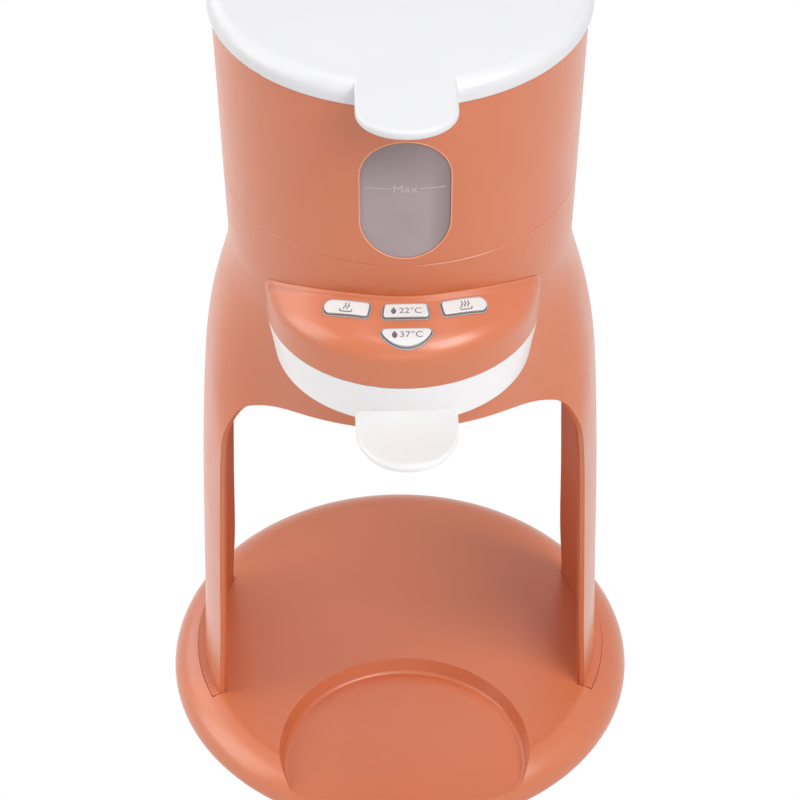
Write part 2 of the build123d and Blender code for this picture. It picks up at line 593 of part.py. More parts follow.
# ---- collar, chassis, upper housing -----------------------------------------------------------------------
with BuildPart() as collar_housing:
    with BuildSketch(Plane.XZ):
        with BuildLine():
            Polyline([(SPIGOT_OUTER, DECK_TOP), (SPIGOT_OUTER, HUB_RIM), (HUB_RADIUS, HUB_RIM),
                      (SEAM_RADIUS, SEAM_HEIGHT - SEAM_CHAMFER), (SEAM_RADIUS - SEAM_CHAMFER, SEAM_HEIGHT),
                      (SEAM_RADIUS - HOUSING_WALL, SEAM_HEIGHT),
                      (SEAM_RADIUS - HOUSING_WALL, SEAM_HEIGHT + 2.2),
                      (SEAM_RADIUS - HOUSING_WALL - SPIGOT_WALL, SEAM_HEIGHT + 2.2),
                      (SEAM_RADIUS - HOUSING_WALL - SPIGOT_WALL, HUB_RIM + 4),
                      (SPIGOT_OUTER - SPIGOT_WALL, HUB_RIM), (SPIGOT_OUTER - SPIGOT_WALL, FLANGE_TOP),
                      (COLLAR_FLANGE_RADIUS, FLANGE_TOP), (COLLAR_FLANGE_RADIUS, DECK_TOP),
                      (SPIGOT_OUTER, DECK_TOP)])
        make_face()
    revolve(axis=Axis.Z)
    with Locations((0, TRAY_REAR_Y + 3, DECK_TOP)):
        Box(2 * TUNNEL_HALF_WIDTH, 100, FLANGE_TOP - DECK_TOP, align=(Align.CENTER, Align.MAX, Align.MIN),
            mode=Mode.SUBTRACT)
    with Locations((0, -30, DECK_TOP)):
        Box(2 * TRAY_HALF_WIDTH, 60, CONSOLE_TOP - 8 - DECK_TOP, align=(Align.CENTER, Align.MAX, Align.MIN),
            mode=Mode.SUBTRACT)
    with Locations(*[(x, y, DECK_TOP) for x, y in LEG_POSTS]):
        Cylinder(SCREW_RADIUS + SCREW_FIT, 10, mode=Mode.SUBTRACT)
save(collar_housing.part, "collar_housing")

with BuildPart() as inner_chassis:
    with BuildSketch(Plane.XY.offset(FLANGE_TOP)):
        Circle(CHASSIS_RADIUS)
    with BuildSketch(Plane.XY.offset(FLANGE_TOP)):
        with Locations((0, CONSOLE_CENTRE_Y)):
            Circle(CONSOLE_RADIUS - CONSOLE_WALL - FIT)
            Rectangle(2 * TRAY_HALF_WIDTH - 2 * FIT, 200, mode=Mode.INTERSECT)
    extrude(amount=CHASSIS_TOP - FLANGE_TOP)
    with Locations((0, NOZZLE_Y, FLANGE_TOP)):
        Cylinder(NOZZLE_RADIUS + FIT, 10, mode=Mode.SUBTRACT)
    with Locations((0, 36, FLANGE_TOP)):
        Box(16, 8, 10, mode=Mode.SUBTRACT)
    with Locations(*[(x, y, CHASSIS_TOP) for x, y in LEG_POSTS]):
        CounterSinkHole(SCREW_RADIUS + SCREW_FIT, SCREW_HEAD_RADIUS + SCREW_FIT)
    with Locations(*[(x, y, FLANGE_TOP) for x, y in PANEL_POSTS]):
        Cone(SCREW_HEAD_RADIUS + SCREW_FIT, SCREW_RADIUS + SCREW_FIT, SCREW_HEAD_HEIGHT, align=FLUSH,
             mode=Mode.SUBTRACT)
        Cylinder(SCREW_RADIUS + SCREW_FIT, 10, mode=Mode.SUBTRACT)
save(inner_chassis.part, "inner_chassis")

save(screw_group(LEG_POSTS, [CHASSIS_TOP] * 4, -12), "chassis_screws")

window_middle = (WINDOW_BOTTOM + WINDOW_TOP) / 2
window_length = WINDOW_TOP - WINDOW_BOTTOM

with BuildPart() as upper_housing:
    with BuildSketch(Plane.XZ):
        with BuildLine():
            Polyline([(SEAM_RADIUS, SEAM_HEIGHT), (MOUTH_RADIUS, LID_SEAM),
                      (MOUTH_RADIUS - HOUSING_WALL, LID_SEAM),
                      (MOUTH_RADIUS - HOUSING_WALL, LEDGE_TOP), (LEDGE_RADIUS, LEDGE_TOP),
                      (LEDGE_RADIUS, LEDGE_TOP - 1.8), (MOUTH_RADIUS - HOUSING_WALL - 0.4, LEDGE_TOP - 4.5),
                      (SEAM_RADIUS - HOUSING_WALL + FIT, SEAM_HEIGHT), (SEAM_RADIUS, SEAM_HEIGHT)])
        make_face()
    revolve(axis=Axis.Z)
    with BuildSketch(Plane.XZ.offset(40)):
        with Locations((0, window_middle)):
            SlotOverall(window_length, 2 * WINDOW_RADIUS, rotation=90)
    extrude(amount=40, mode=Mode.SUBTRACT)
save(upper_housing.part, "upper_housing")

with BuildPart() as window_lens:
    with BuildSketch(Plane.XZ):
        with BuildLine():
            Polyline([(SEAM_RADIUS - 0.4, SEAM_HEIGHT), (MOUTH_RADIUS - 0.4, LID_SEAM),
                      (MOUTH_RADIUS - 0.4 - LENS_THICKNESS, LID_SEAM),
                      (SEAM_RADIUS - 0.4 - LENS_THICKNESS, SEAM_HEIGHT), (SEAM_RADIUS - 0.4, SEAM_HEIGHT)])
        make_face()
    revolve(axis=Axis.Z)
    with BuildSketch(Plane.XZ.offset(40)):
        with Locations((0, window_middle)):
            SlotOverall(window_length - 2 * FIT, 2 * (WINDOW_RADIUS - FIT), rotation=90)
    extrude(amount=40, mode=Mode.INTERSECT)
save(window_lens.part, "window_lens")

with BuildPart() as water_tank:
    with Locations((0, 0, TANK_FLOOR)):
        Cylinder(TANK_RADIUS, TANK_RIM - TANK_FLOOR, align=FLUSH)
    fillet(water_tank.edges().group_by(Axis.Z)[0], radius=3)
    with Locations((0, 0, LEDGE_TOP)):
        Cylinder(MOUTH_RADIUS - HOUSING_WALL - FIT, TANK_RIM - LEDGE_TOP, align=FLUSH)
    with Locations((VALVE_X, VALVE_Y, VALVE_TOP - SOCKET_DEPTH + 0.4)):
        Cylinder(STUB_RADIUS, TANK_FLOOR - VALVE_TOP + SOCKET_DEPTH + 1, align=FLUSH)
    with Locations((0, 0, TANK_FLOOR + TANK_WALL)):
        Cylinder(TANK_RADIUS - TANK_WALL, 80, align=FLUSH, mode=Mode.SUBTRACT)
    with Locations((VALVE_X, VALVE_Y, 0)):
        Cylinder(STUB_RADIUS - 1.5, TANK_RIM, align=FLUSH, mode=Mode.SUBTRACT)
save(water_tank.part, "water_tank")

# ---- lid --------------------------------------------------------------------------------------------------
lid_bottom = LID_SEAM + SLIDE
plug_radius = MOUTH_RADIUS - HOUSING_WALL - 0.4

with BuildPart() as finger_tab:
    with BuildSketch(Plane.XY.offset(LID_TOP - TAB_THICKNESS)):
        with BuildLine():
            shoulder_y = TAB_TIP_Y + TAB_END
            EllipticalCenterArc((0, shoulder_y), TAB_WIDTH / 2, TAB_END, start_angle=180, arc_size=180)
            Polyline([(TAB_WIDTH / 2, shoulder_y), (TAB_WIDTH / 2, TAB_ROOT_Y), (-TAB_WIDTH / 2, TAB_ROOT_Y),
                      (-TAB_WIDTH / 2, shoulder_y)])
        make_face()
    extrude(amount=TAB_THICKNESS)
    rim = finger_tab.edges().filter_by(Plane.XY).filter_by(lambda e: e.center().Y < TAB_ROOT_Y - 1)
    fillet(rim, radius=1.2)

with BuildPart() as lid:
    with BuildSketch(Plane.XZ):
        with BuildLine():
            Line((0, LID_TOP), (LID_RADIUS - LID_EDGE, LID_TOP))
            RadiusArc((LID_RADIUS - LID_EDGE, LID_TOP), (LID_RADIUS, LID_TOP - LID_EDGE), LID_EDGE)
            Line((LID_RADIUS, LID_TOP - LID_EDGE), (LID_RADIUS, lid_bottom + 1.2))
            RadiusArc((LID_RADIUS, lid_bottom + 1.2), (LID_RADIUS - 1.2, lid_bottom), 1.2)
            Polyline([(LID_RADIUS - 1.2, lid_bottom), (plug_radius, lid_bottom),
                      (plug_radius, TANK_RIM + 0.5), (plug_radius - LID_WALL, TANK_RIM + 0.5),
                      (plug_radius - LID_WALL, LID_TOP - LID_WALL),
                      (0, LID_TOP - LID_WALL), (0, LID_TOP)])
        make_face()
    revolve(axis=Axis.Z)
    # seal groove round the plug
    with Locations((0, 0, TANK_RIM + 0.9)):
        Cylinder(plug_radius + 1, SEAL_HEIGHT + 0.2, align=FLUSH, mode=Mode.SUBTRACT)
        Cylinder(plug_radius - 0.9, SEAL_HEIGHT + 0.2, align=FLUSH)
        Cylinder(plug_radius - LID_WALL, SEAL_HEIGHT + 0.2, align=FLUSH, mode=Mode.SUBTRACT)
    add(finger_tab.part)
save(lid.part, "lid")

with BuildPart() as lid_seal:
    with Locations((0, 0, TANK_RIM + 1.0)):
        Cylinder(plug_radius + 0.1, SEAL_HEIGHT, align=FLUSH)
        Cylinder(plug_radius - 0.8, SEAL_HEIGHT, align=FLUSH, mode=Mode.SUBTRACT)
save(lid_seal.part, "lid_seal")

# ---- powder drawer ----------------------------------------------------------------------------------------
# stands across the tongue, y upwards, z back along it
tongue_plane = Plane(origin=(0, TONGUE_ROOT_Y, TONGUE_ROOT_Z), x_dir=(1, 0, 0),
                     z_dir=(0, -math.cos(math.radians(TONGUE_TILT)), -math.sin(math.radians(TONGUE_TILT))))

with BuildPart() as drawer_form:
    with BuildSketch(Plane.XY.offset(DRAWER_BOTTOM)):
        with Locations((0, CONSOLE_CENTRE_Y)):
            Circle(DRAWER_BOTTOM_RADIUS)
    with BuildSketch(Plane.XY.offset(DRAWER_TOP)):
        with Locations((0, CONSOLE_CENTRE_Y)):
            Circle(CONSOLE_RADIUS - 0.1)
    loft()
    fillet(drawer_form.edges().group_by(Axis.Z)[0], radius=2)

with BuildPart() as drawer_tray:
    add(drawer_form.part)
    with Locations((0, 0, DRAWER_BOTTOM)):
        Box(2 * TRAY_HALF_WIDTH, 100, TRAY_TOP - DRAWER_BOTTOM, align=(Align.CENTER, Align.MAX, Align.MIN),
            mode=Mode.INTERSECT)
    with Locations((0, TRAY_REAR_Y, DRAWER_BOTTOM)):
        Box(2 * TRAY_HALF_WIDTH, TRAY_REAR_Y - CONSOLE_CENTRE_Y, TRAY_TOP - DRAWER_BOTTOM,
            align=(Align.CENTER, Align.MAX, Align.MIN))

with BuildPart() as handle_tongue:
    # plan of the tongue, cut out of a crowned plate that tilts down to the front
    half = TONGUE_WIDTH / 2
    with BuildSketch(Plane.XY.offset(DRAWER_BOTTOM - 20)):
        with BuildLine():
            EllipticalCenterArc((0, TONGUE_STRAIGHT_Y), half, TONGUE_STRAIGHT_Y - TONGUE_TIP_Y,
                                start_angle=180, arc_size=180)
            Polyline([(half, TONGUE_STRAIGHT_Y), (half, TONGUE_ROOT_Y + TONGUE_ROOT),
                      (-half, TONGUE_ROOT_Y + TONGUE_ROOT), (-half, TONGUE_STRAIGHT_Y)])
        make_face()
    extrude(amount=40)
    with BuildSketch(tongue_plane):
        with Locations((0, -TONGUE_CROWN)):
            Circle(TONGUE_CROWN)
            Circle(TONGUE_CROWN - TONGUE_THICKNESS, mode=Mode.SUBTRACT)
        Rectangle(4 * half, TONGUE_CROWN, mode=Mode.INTERSECT)
    extrude(amount=TONGUE_ROOT_Y - TONGUE_TIP_Y + 8, both=True, mode=Mode.INTERSECT)
    # both edges round over, except at the root
    rim = handle_tongue.edges().filter_by(
        lambda e: e.center().Y < TONGUE_ROOT_Y + TONGUE_ROOT - 1 and abs(e.tangent_at(0.5).Z) < 0.9)
    fillet(rim, radius=TONGUE_EDGE)

with BuildPart() as powder_drawer:
    add(drawer_form.part)
    add(clear_form, mode=Mode.SUBTRACT)
    with Locations((0, 0, DRAWER_BOTTOM - 1)):
        Box(300, 300, 30, align=(Align.CENTER, Align.MIN, Align.MIN), mode=Mode.SUBTRACT)
    add(handle_tongue.part)
    # tray behind the front, with a flange along each side that runs on the rails
    add(drawer_tray.part)
    with Locations((0, TRAY_REAR_Y, TRAY_TOP - FLANGE_HEIGHT)):
        Box(2 * (TRAY_HALF_WIDTH + TRAY_FLANGE), TRAY_REAR_Y - CONSOLE_CENTRE_Y, FLANGE_HEIGHT,
            align=(Align.CENTER, Align.MAX, Align.MIN))
    with BuildSketch(Plane.XY.offset(TRAY_TOP)):
        with Locations((0, CUP_CENTRE_Y)):
            Circle(CUP_RADIUS)
    with BuildSketch(Plane.XY.offset(CUP_FLOOR)):
        with Locations((0, CUP_CENTRE_Y)):
            Circle(SIEVE_RADIUS + FIT)
    loft(mode=Mode.SUBTRACT)
    with Locations((0, CUP_CENTRE_Y, CUP_FLOOR - SIEVE_THICKNESS)):
        Cylinder(SIEVE_RADIUS + FIT, SIEVE_THICKNESS, align=FLUSH, mode=Mode.SUBTRACT)
    with Locations((0, CUP_CENTRE_Y, DRAWER_BOTTOM)):
        Cylinder(SIEVE_RADIUS - 1.2, 10, mode=Mode.SUBTRACT)
save(powder_drawer.part, "powder_drawer")

with BuildPart() as drawer_sieve:
    with Locations((0, CUP_CENTRE_Y, CUP_FLOOR - SIEVE_THICKNESS)):
        Cylinder(SIEVE_RADIUS, SIEVE_THICKNESS, align=FLUSH)
    with Locations((0, CUP_CENTRE_Y, CUP_FLOOR)):
        Cylinder(1.2, 10, mode=Mode.SUBTRACT)
        with PolarLocations(6.5, 6):
            Cylinder(1.2, 10, mode=Mode.SUBTRACT)
        with PolarLocations(12.5, 12):
            Cylinder(1.2, 10, mode=Mode.SUBTRACT)
save(drawer_sieve.part, "drawer_sieve")

with BuildPart() as drawer_rails:
    for side in (-1, 1):
        with Locations((side * (TRAY_HALF_WIDTH + 3.3), -13, DECK_TOP - DECK_THICKNESS - 2)):
            Box(5, 38, 2, align=FLUSH)
save(drawer_rails.part, "drawer_rails")

with BuildPart() as outlet_funnel:
    with BuildSketch(Plane.XY.offset(DRAWER_BOTTOM - 0.8)):
        with Locations((0, CUP_CENTRE_Y)):
            Circle(FUNNEL_RADIUS)
    with BuildSketch(Plane.XY.offset(FUNNEL_NECK)):
        with Locations((0, OUTLET_Y)):
            Circle(OUTLET_RADIUS)
    loft()
    with Locations((0, OUTLET_Y, ARCH_CROWN - 1)):
        Cylinder(OUTLET_RADIUS, FUNNEL_NECK - ARCH_CROWN + 1, align=FLUSH)
    with Locations((0, OUTLET_Y, ARCH_CROWN + COVER_THICKNESS + 1)):
        Cylinder(OUTLET_RADIUS + 3, 1.2, align=FLUSH)
    with BuildSketch(Plane.XY.offset(DRAWER_BOTTOM - 0.8)):
        with Locations((0, CUP_CENTRE_Y)):
            Circle(FUNNEL_RADIUS - FUNNEL_WALL)
    with BuildSketch(Plane.XY.offset(FUNNEL_NECK)):
        with Locations((0, OUTLET_Y)):
            Circle(OUTLET_RADIUS - FUNNEL_WALL)
    loft(mode=Mode.SUBTRACT)
    with Locations((0, OUTLET_Y, ARCH_CROWN - 2)):
        Cylinder(OUTLET_RADIUS - FUNNEL_WALL, FUNNEL_NECK - ARCH_CROWN + 2, align=FLUSH, mode=Mode.SUBTRACT)
save(outlet_funnel.part, "outlet_funnel")

# ---- control console --------------------------------------------------------------------------------------
BUTTONS = {
    "button_steam_low": ("left", ROW_RADIUS, -SIDE_BUTTON_ANGLE),
    "button_22": ("middle", ROW_RADIUS, 0.0),
    "button_steam_high": ("right", ROW_RADIUS, SIDE_BUTTON_ANGLE),
    "button_37": ("low", LOW_BUTTON_RADIUS, 0.0),
}


def button_outline(kind, grow=0.0):
    """Plan of a button cap on its own plane, grown outwards by grow."""
    height = ROW_BUTTON_HEIGHT
    with BuildSketch() as outline:
        if kind == "low":
            with BuildLine():
                ThreePointArc((-LOW_BUTTON_WIDTH / 2, 0), (0, -LOW_BUTTON_HEIGHT), (LOW_BUTTON_WIDTH / 2, 0))
                Line((LOW_BUTTON_WIDTH / 2, 0), (-LOW_BUTTON_WIDTH / 2, 0))
            make_face()
            fillet(outline.vertices(), radius=1.2)
        elif kind == "middle":
            with BuildLine():
                Polyline([(-MID_BUTTON_FOOT / 2, -height / 2), (MID_BUTTON_FOOT / 2, -height / 2),
                          (MID_BUTTON_TOP / 2, height / 2), (-MID_BUTTON_TOP / 2, height / 2)], close=True)
            make_face()
            fillet(outline.vertices(), radius=1.0)
        else:
            side = -1 if kind == "left" else 1
            with Locations((-side * height / 4, 0)):
                Rectangle(SIDE_BUTTON_WIDTH - height / 2, height)
            with Locations((side * (SIDE_BUTTON_WIDTH - height) / 2, 0)):
                Circle(height / 2)
            fillet(outline.vertices().filter_by(lambda v: side * v.X < 0), radius=0.9)
        if grow:
            offset(amount=grow)
    return outline.sketch


def stem_place(kind):
    return (0, -0.45 * LOW_BUTTON_HEIGHT if kind == "low" else 0)


row_plane = button_plane(ROW_RADIUS, 0.0)
board_top = row_plane.offset(-BOARD_DEPTH)
console_block = console_form(0.0)

with BuildPart() as panel_posts:
    with Locations(*[(x, y, CHASSIS_TOP) for x, y in PANEL_POSTS]):
        Cylinder(2.6, 40, align=FLUSH)
    with Locations(*[(x, y, CHASSIS_TOP - 1) for x, y in PANEL_POSTS]):
        Cylinder(SCREW_RADIUS + SCREW_FIT, 9, align=FLUSH, mode=Mode.SUBTRACT)
    add(console_block, mode=Mode.INTERSECT)

with BuildPart() as board_posts:
    with Locations(*[(x, y, CHASSIS_TOP) for x, y in BOARD_POSTS]):
        Cylinder(0.9, 40, align=FLUSH)
    with Locations(board_top):
        Box(120, 120, 40, align=(Align.CENTER, Align.CENTER, Align.MAX), mode=Mode.SUBTRACT)
    add(console_block, mode=Mode.INTERSECT)

with BuildPart() as collar_room:
    with BuildSketch(Plane.XZ):
        with BuildLine():
            Polyline([(0, CONSOLE_BOTTOM - 1), (HUB_RADIUS + FIT, CONSOLE_BOTTOM - 1),
                      (HUB_RADIUS + FIT, HUB_RIM), (SEAM_RADIUS + FIT, SEAM_HEIGHT),
                      (SEAM_RADIUS + FIT, SEAM_HEIGHT + 20),
                      (0, SEAM_HEIGHT + 20), (0, CONSOLE_BOTTOM - 1)])
        make_face()
    revolve(axis=Axis.Z)

with BuildPart() as control_panel:
    add(console_block)
    add(console_form(CONSOLE_WALL), mode=Mode.SUBTRACT)
    add(panel_posts.part)
    add(board_posts.part)
    add(collar_room.part, mode=Mode.SUBTRACT)
    add(clear_form, mode=Mode.SUBTRACT)
    for kind, radius, turn in BUTTONS.values():
        with BuildSketch(button_plane(radius, turn).offset(-5)):
            add(button_outline(kind, SLIDE + BEZEL_WALL + SCREW_FIT))
        extrude(amount=10, mode=Mode.SUBTRACT)
save(control_panel.part, "control_panel")

save(screw_group(PANEL_POSTS, [FLANGE_TOP] * 2, 9), "panel_screws")

with BuildPart() as button_bezels:
    for kind, radius, turn in BUTTONS.values():
        with BuildSketch(button_plane(radius, turn).offset(-BEZEL_DEPTH)):
            add(button_outline(kind, SLIDE + BEZEL_WALL))
            add(button_outline(kind, SLIDE), mode=Mode.SUBTRACT)
        extrude(amount=2 * BEZEL_DEPTH)
    add(console_form(-BEZEL_PROUD), mode=Mode.INTERSECT)
save(button_bezels.part, "button_bezels")

button_room = console_form(CONSOLE_WALL + SLIDE)
cap_face = console_form(-BUTTON_PROUD)

for label, (kind, radius, turn) in BUTTONS.items():
    face_plane = button_plane(radius, turn)
    foot = BUTTON_DEPTH + BUTTON_FLANGE
    with BuildPart() as flange:
        with BuildSketch(face_plane.offset(-foot)):
            add(button_outline(kind, SLIDE + BEZEL_WALL + SLIDE))
        extrude(amount=BUTTON_FLANGE)
        add(button_room, mode=Mode.INTERSECT)
    with BuildPart() as button:
        with BuildSketch(face_plane.offset(-BUTTON_DEPTH)):
            add(button_outline(kind))
        extrude(amount=2 * BUTTON_DEPTH)
        add(cap_face, mode=Mode.INTERSECT)
        fillet(button.faces().sort_by(Axis.Z)[-1].edges(), radius=0.4)
        add(flange.part)
        with BuildSketch(face_plane.offset(-foot - BUTTON_STEM)):
            with Locations(stem_place(kind)):
                Circle(1.5)
        extrude(amount=BUTTON_STEM)
    save(button.part, label)

with BuildPart() as control_board:
    with BuildSketch(Plane.XY.offset(CHASSIS_TOP)):
        with Locations((0, CONSOLE_CENTRE_Y)):
            Circle(CONSOLE_RADIUS - CONSOLE_WALL - 1.7)
        with Locations((0, -66)):
            Rectangle(58, 17, mode=Mode.INTERSECT)
    extrude(amount=20)
    with Locations(board_top):
        Box(200, 200, BOARD_THICKNESS, align=(Align.CENTER, Align.CENTER, Align.MAX), mode=Mode.INTERSECT)
save(control_board.part, "control_board")

# each switch stands under its stem, a gap short of where the stem comes when the button is pressed home
stem_reach = BUTTON_DEPTH + BUTTON_FLANGE + BUTTON_STEM + BUTTON_TRAVEL
switches = []
for kind, radius, turn in BUTTONS.values():
    pressed = button_plane(radius, turn).from_local_coords(stem_place(kind) + (-stem_reach,))
    switches.append(board_top.to_local_coords(pressed))

with BuildPart() as tact_switches:
    for stem_end in switches:
        with BuildSketch(board_top):
            with Locations((stem_end.X, stem_end.Y)):
                Rectangle(SWITCH_SIDE, SWITCH_SIDE)
        extrude(amount=stem_end.Z - SWITCH_GAP)
save(tact_switches.part, "tact_switches")

# ---- water path -------------------------------------------------------------------------------------------
with BuildPart() as valve_coil:
    with Locations((VALVE_X, VALVE_Y, CHASSIS_TOP)):
        Cylinder(COIL_RADIUS, COIL_HEIGHT, align=FLUSH)
        Cylinder(PLUNGER_RADIUS + 0.4, COIL_HEIGHT, align=FLUSH, mode=Mode.SUBTRACT)
save(valve_coil.part, "valve_coil")

with BuildPart() as valve_body:
    with Locations((VALVE_X, VALVE_Y, COIL_TOP)):
        Box(VALVE_SIDE, VALVE_SIDE, VALVE_SIDE, align=FLUSH)
    fillet(valve_body.edges().filter_by(Axis.Z), radius=2)
    with Locations(Location((VALVE_X + VALVE_SIDE / 2, VALVE_Y, HOSE_HEIGHT), (0, 90, 0))):
        Cylinder(SPIGOT_RADIUS, SPIGOT_LENGTH, align=FLUSH)
    with Locations(Location((VALVE_X, VALVE_Y, HOSE_HEIGHT), (0, 90, 0))):
        Cylinder(SPIGOT_BORE, 40, align=FLUSH, mode=Mode.SUBTRACT)
    with Locations((VALVE_X, VALVE_Y, COIL_TOP)):
        Cylinder(BORE_RADIUS, PLUNGER_TOP + 0.1 - COIL_TOP, align=FLUSH, mode=Mode.SUBTRACT)
        Cylinder(SPIGOT_BORE, VALVE_SIDE, align=FLUSH, mode=Mode.SUBTRACT)
    with Locations((VALVE_X, VALVE_Y, VALVE_TOP - SOCKET_DEPTH)):
        Cylinder(STUB_RADIUS + 1.5, SOCKET_DEPTH, align=FLUSH, mode=Mode.SUBTRACT)
save(valve_body.part, "valve_body")

with BuildPart() as valve_plunger:
    with Locations((VALVE_X, VALVE_Y, PLUNGER_TOP - PLUNGER_LENGTH)):
        Cylinder(PLUNGER_RADIUS, PLUNGER_LENGTH, align=FLUSH)
    chamfer(valve_plunger.edges().group_by(Axis.Z)[-1], length=0.6)
save(valve_plunger.part, "valve_plunger")

spring_height = PLUNGER_TOP - PLUNGER_LENGTH - CHASSIS_TOP - 2 * SPRING_WIRE - 0.3
with BuildPart() as valve_spring:
    with BuildLine():
        coil_line = Helix(pitch=spring_height / SPRING_TURNS, height=spring_height, radius=SPRING_RADIUS,
                          center=(VALVE_X, VALVE_Y, CHASSIS_TOP + SPRING_WIRE + 0.1))
    with BuildSketch(Plane(origin=coil_line @ 0, z_dir=coil_line % 0)):
        Circle(SPRING_WIRE)
    sweep()
save(valve_spring.part, "valve_spring")

with BuildPart() as tank_seal:
    with Locations((VALVE_X, VALVE_Y, VALVE_TOP - SOCKET_DEPTH + 0.4)):
        Cylinder(STUB_RADIUS + 1.45, SOCKET_DEPTH - 0.8, align=FLUSH)
        Cylinder(STUB_RADIUS + 0.05, SOCKET_DEPTH - 0.8, align=FLUSH, mode=Mode.SUBTRACT)
save(tank_seal.part, "tank_seal")

inlet_reach = HEATER_X - math.sqrt(HEATER_RADIUS ** 2 - (VALVE_Y - HEATER_Y) ** 2)
outlet_reach = HEATER_Y - math.sqrt(HEATER_RADIUS ** 2 - HEATER_X ** 2)

with BuildPart() as heater_block:
    with Locations((HEATER_X, HEATER_Y, HEATER_BOTTOM)):
        Cylinder(HEATER_RADIUS, HEATER_HEIGHT, align=FLUSH)
    chamfer(heater_block.edges().group_by(Axis.Z)[-1], length=0.8)
    with Locations((HEATER_X, HEATER_Y, CHASSIS_TOP)):
        with PolarLocations(HEATER_RADIUS - 4, 3, start_angle=90):
            Cylinder(2.5, HEATER_BOTTOM - CHASSIS_TOP, align=FLUSH)
    with Locations(Location((inlet_reach - SPIGOT_LENGTH, VALVE_Y, HOSE_HEIGHT), (0, 90, 0))):
        Cylinder(SPIGOT_RADIUS, SPIGOT_LENGTH + 2, align=FLUSH)
        Cylinder(SPIGOT_BORE, SPIGOT_LENGTH + 18, align=FLUSH, mode=Mode.SUBTRACT)
    with Locations(Location((0, outlet_reach - SPIGOT_LENGTH, HOSE_HEIGHT), (-90, 0, 0))):
        Cylinder(SPIGOT_RADIUS, SPIGOT_LENGTH + 2, align=FLUSH)
        Cylinder(SPIGOT_BORE, SPIGOT_LENGTH + 18, align=FLUSH, mode=Mode.SUBTRACT)
    # water chamber
    with Locations((HEATER_X, HEATER_Y, HEATER_BOTTOM + 2.5)):
        Cylinder(HEATER_RADIUS - 5, HEATER_HEIGHT - 5, align=FLUSH, mode=Mode.SUBTRACT)
save(heater_block.part, "heater_block")

with BuildPart() as heating_element:
    with Locations((HEATER_X, HEATER_Y, HEATER_TOP + ELEMENT_RADIUS + 0.05)):
        Torus(ELEMENT_RING, ELEMENT_RADIUS)
        with Locations((ELEMENT_RING, 0)):
            Box(14, 6, 3 * ELEMENT_RADIUS, mode=Mode.SUBTRACT)
        # upright terminals at the two ends of the open ring
        terminal = math.radians(22)
        for side in (-1, 1):
            with Locations((ELEMENT_RING * math.cos(terminal), side * ELEMENT_RING * math.sin(terminal))):
                Cylinder(1.2, 9, align=FLUSH)
save(heating_element.part, "heating_element")

with BuildPart() as thermal_fuse:
    with Locations((HEATER_X, HEATER_Y + 4, HEATER_TOP)):
        Box(9, 4.5, 3.2, align=FLUSH)
    fillet(thermal_fuse.edges().group_by(Axis.Z)[-1], radius=0.5)
save(thermal_fuse.part, "thermal_fuse")

with BuildPart() as temperature_sensor:
    with Locations((HEATER_X, HEATER_Y - 4, HEATER_TOP)):
        Cylinder(2.4, 5, align=FLUSH)
    fillet(temperature_sensor.edges().group_by(Axis.Z)[-1], radius=1)
save(temperature_sensor.part, "temperature_sensor")

# each hose stops short of the heater's round side
hose_radius = SPIGOT_RADIUS + HOSE_WALL
hose_start = VALVE_X + VALVE_SIDE / 2 + 0.2
inlet_end = HEATER_X - math.sqrt(HEATER_RADIUS ** 2 - (VALVE_Y - HEATER_Y - hose_radius) ** 2) - 0.2
with BuildPart() as inlet_hose:
    with Locations(Location((hose_start, VALVE_Y, HOSE_HEIGHT), (0, 90, 0))):
        Cylinder(hose_radius, inlet_end - hose_start, align=FLUSH)
        Cylinder(SPIGOT_RADIUS + 0.05, inlet_end - hose_start, align=FLUSH, mode=Mode.SUBTRACT)
save(inlet_hose.part, "inlet_hose")

nozzle_face = NOZZLE_Y + NOZZLE_RADIUS
outlet_end = HEATER_Y - math.sqrt(HEATER_RADIUS ** 2 - (HEATER_X - hose_radius) ** 2) - 0.2
with BuildPart() as outlet_hose:
    with Locations(Location((0, nozzle_face + 0.3, HOSE_HEIGHT), (-90, 0, 0))):
        Cylinder(hose_radius, outlet_end - nozzle_face - 0.3, align=FLUSH)
        Cylinder(SPIGOT_RADIUS + 0.05, outlet_end - nozzle_face - 0.3, align=FLUSH, mode=Mode.SUBTRACT)
save(outlet_hose.part, "outlet_hose")

with BuildPart() as nozzle:
    with Locations((0, NOZZLE_Y, CHASSIS_TOP)):
        Cylinder(NOZZLE_RADIUS, HEATER_TOP - CHASSIS_TOP, align=FLUSH)
        Cylinder(NOZZLE_RADIUS + 3.5, 2, align=FLUSH)
    with Locations((0, NOZZLE_Y, FLANGE_TOP - 0.5)):
        Cylinder(NOZZLE_RADIUS - 1, CHASSIS_TOP - FLANGE_TOP + 0.5, align=FLUSH)
    fillet(nozzle.edges().group_by(Axis.Z)[-1], radius=1.5)
    with Locations(Location((0, nozzle_face - 1, HOSE_HEIGHT), (-90, 0, 0))):
        Cylinder(SPIGOT_RADIUS, SPIGOT_LENGTH + 1, align=FLUSH)
    with Locations(Location((0, NOZZLE_Y, HOSE_HEIGHT), (-90, 0, 0))):
        Cylinder(SPIGOT_BORE, 20, align=FLUSH, mode=Mode.SUBTRACT)
    with Locations((0, NOZZLE_Y, FLANGE_TOP - 1)):
        Cylinder(1.5, HOSE_HEIGHT + 1 - FLANGE_TOP, align=FLUSH, mode=Mode.SUBTRACT)
save(nozzle.part, "nozzle")

# ---- power ------------------------------------------------------------------------------------------------
with BuildPart() as power_board:
    with Locations((0, POWER_BOARD_Y, POWER_BOARD_HEIGHT)):
        Box(POWER_BOARD_LENGTH, POWER_BOARD_WIDTH, BOARD_THICKNESS, align=FLUSH)
    fillet(power_board.edges().filter_by(Axis.Z), radius=1.5)
save(power_board.part, "power_board")

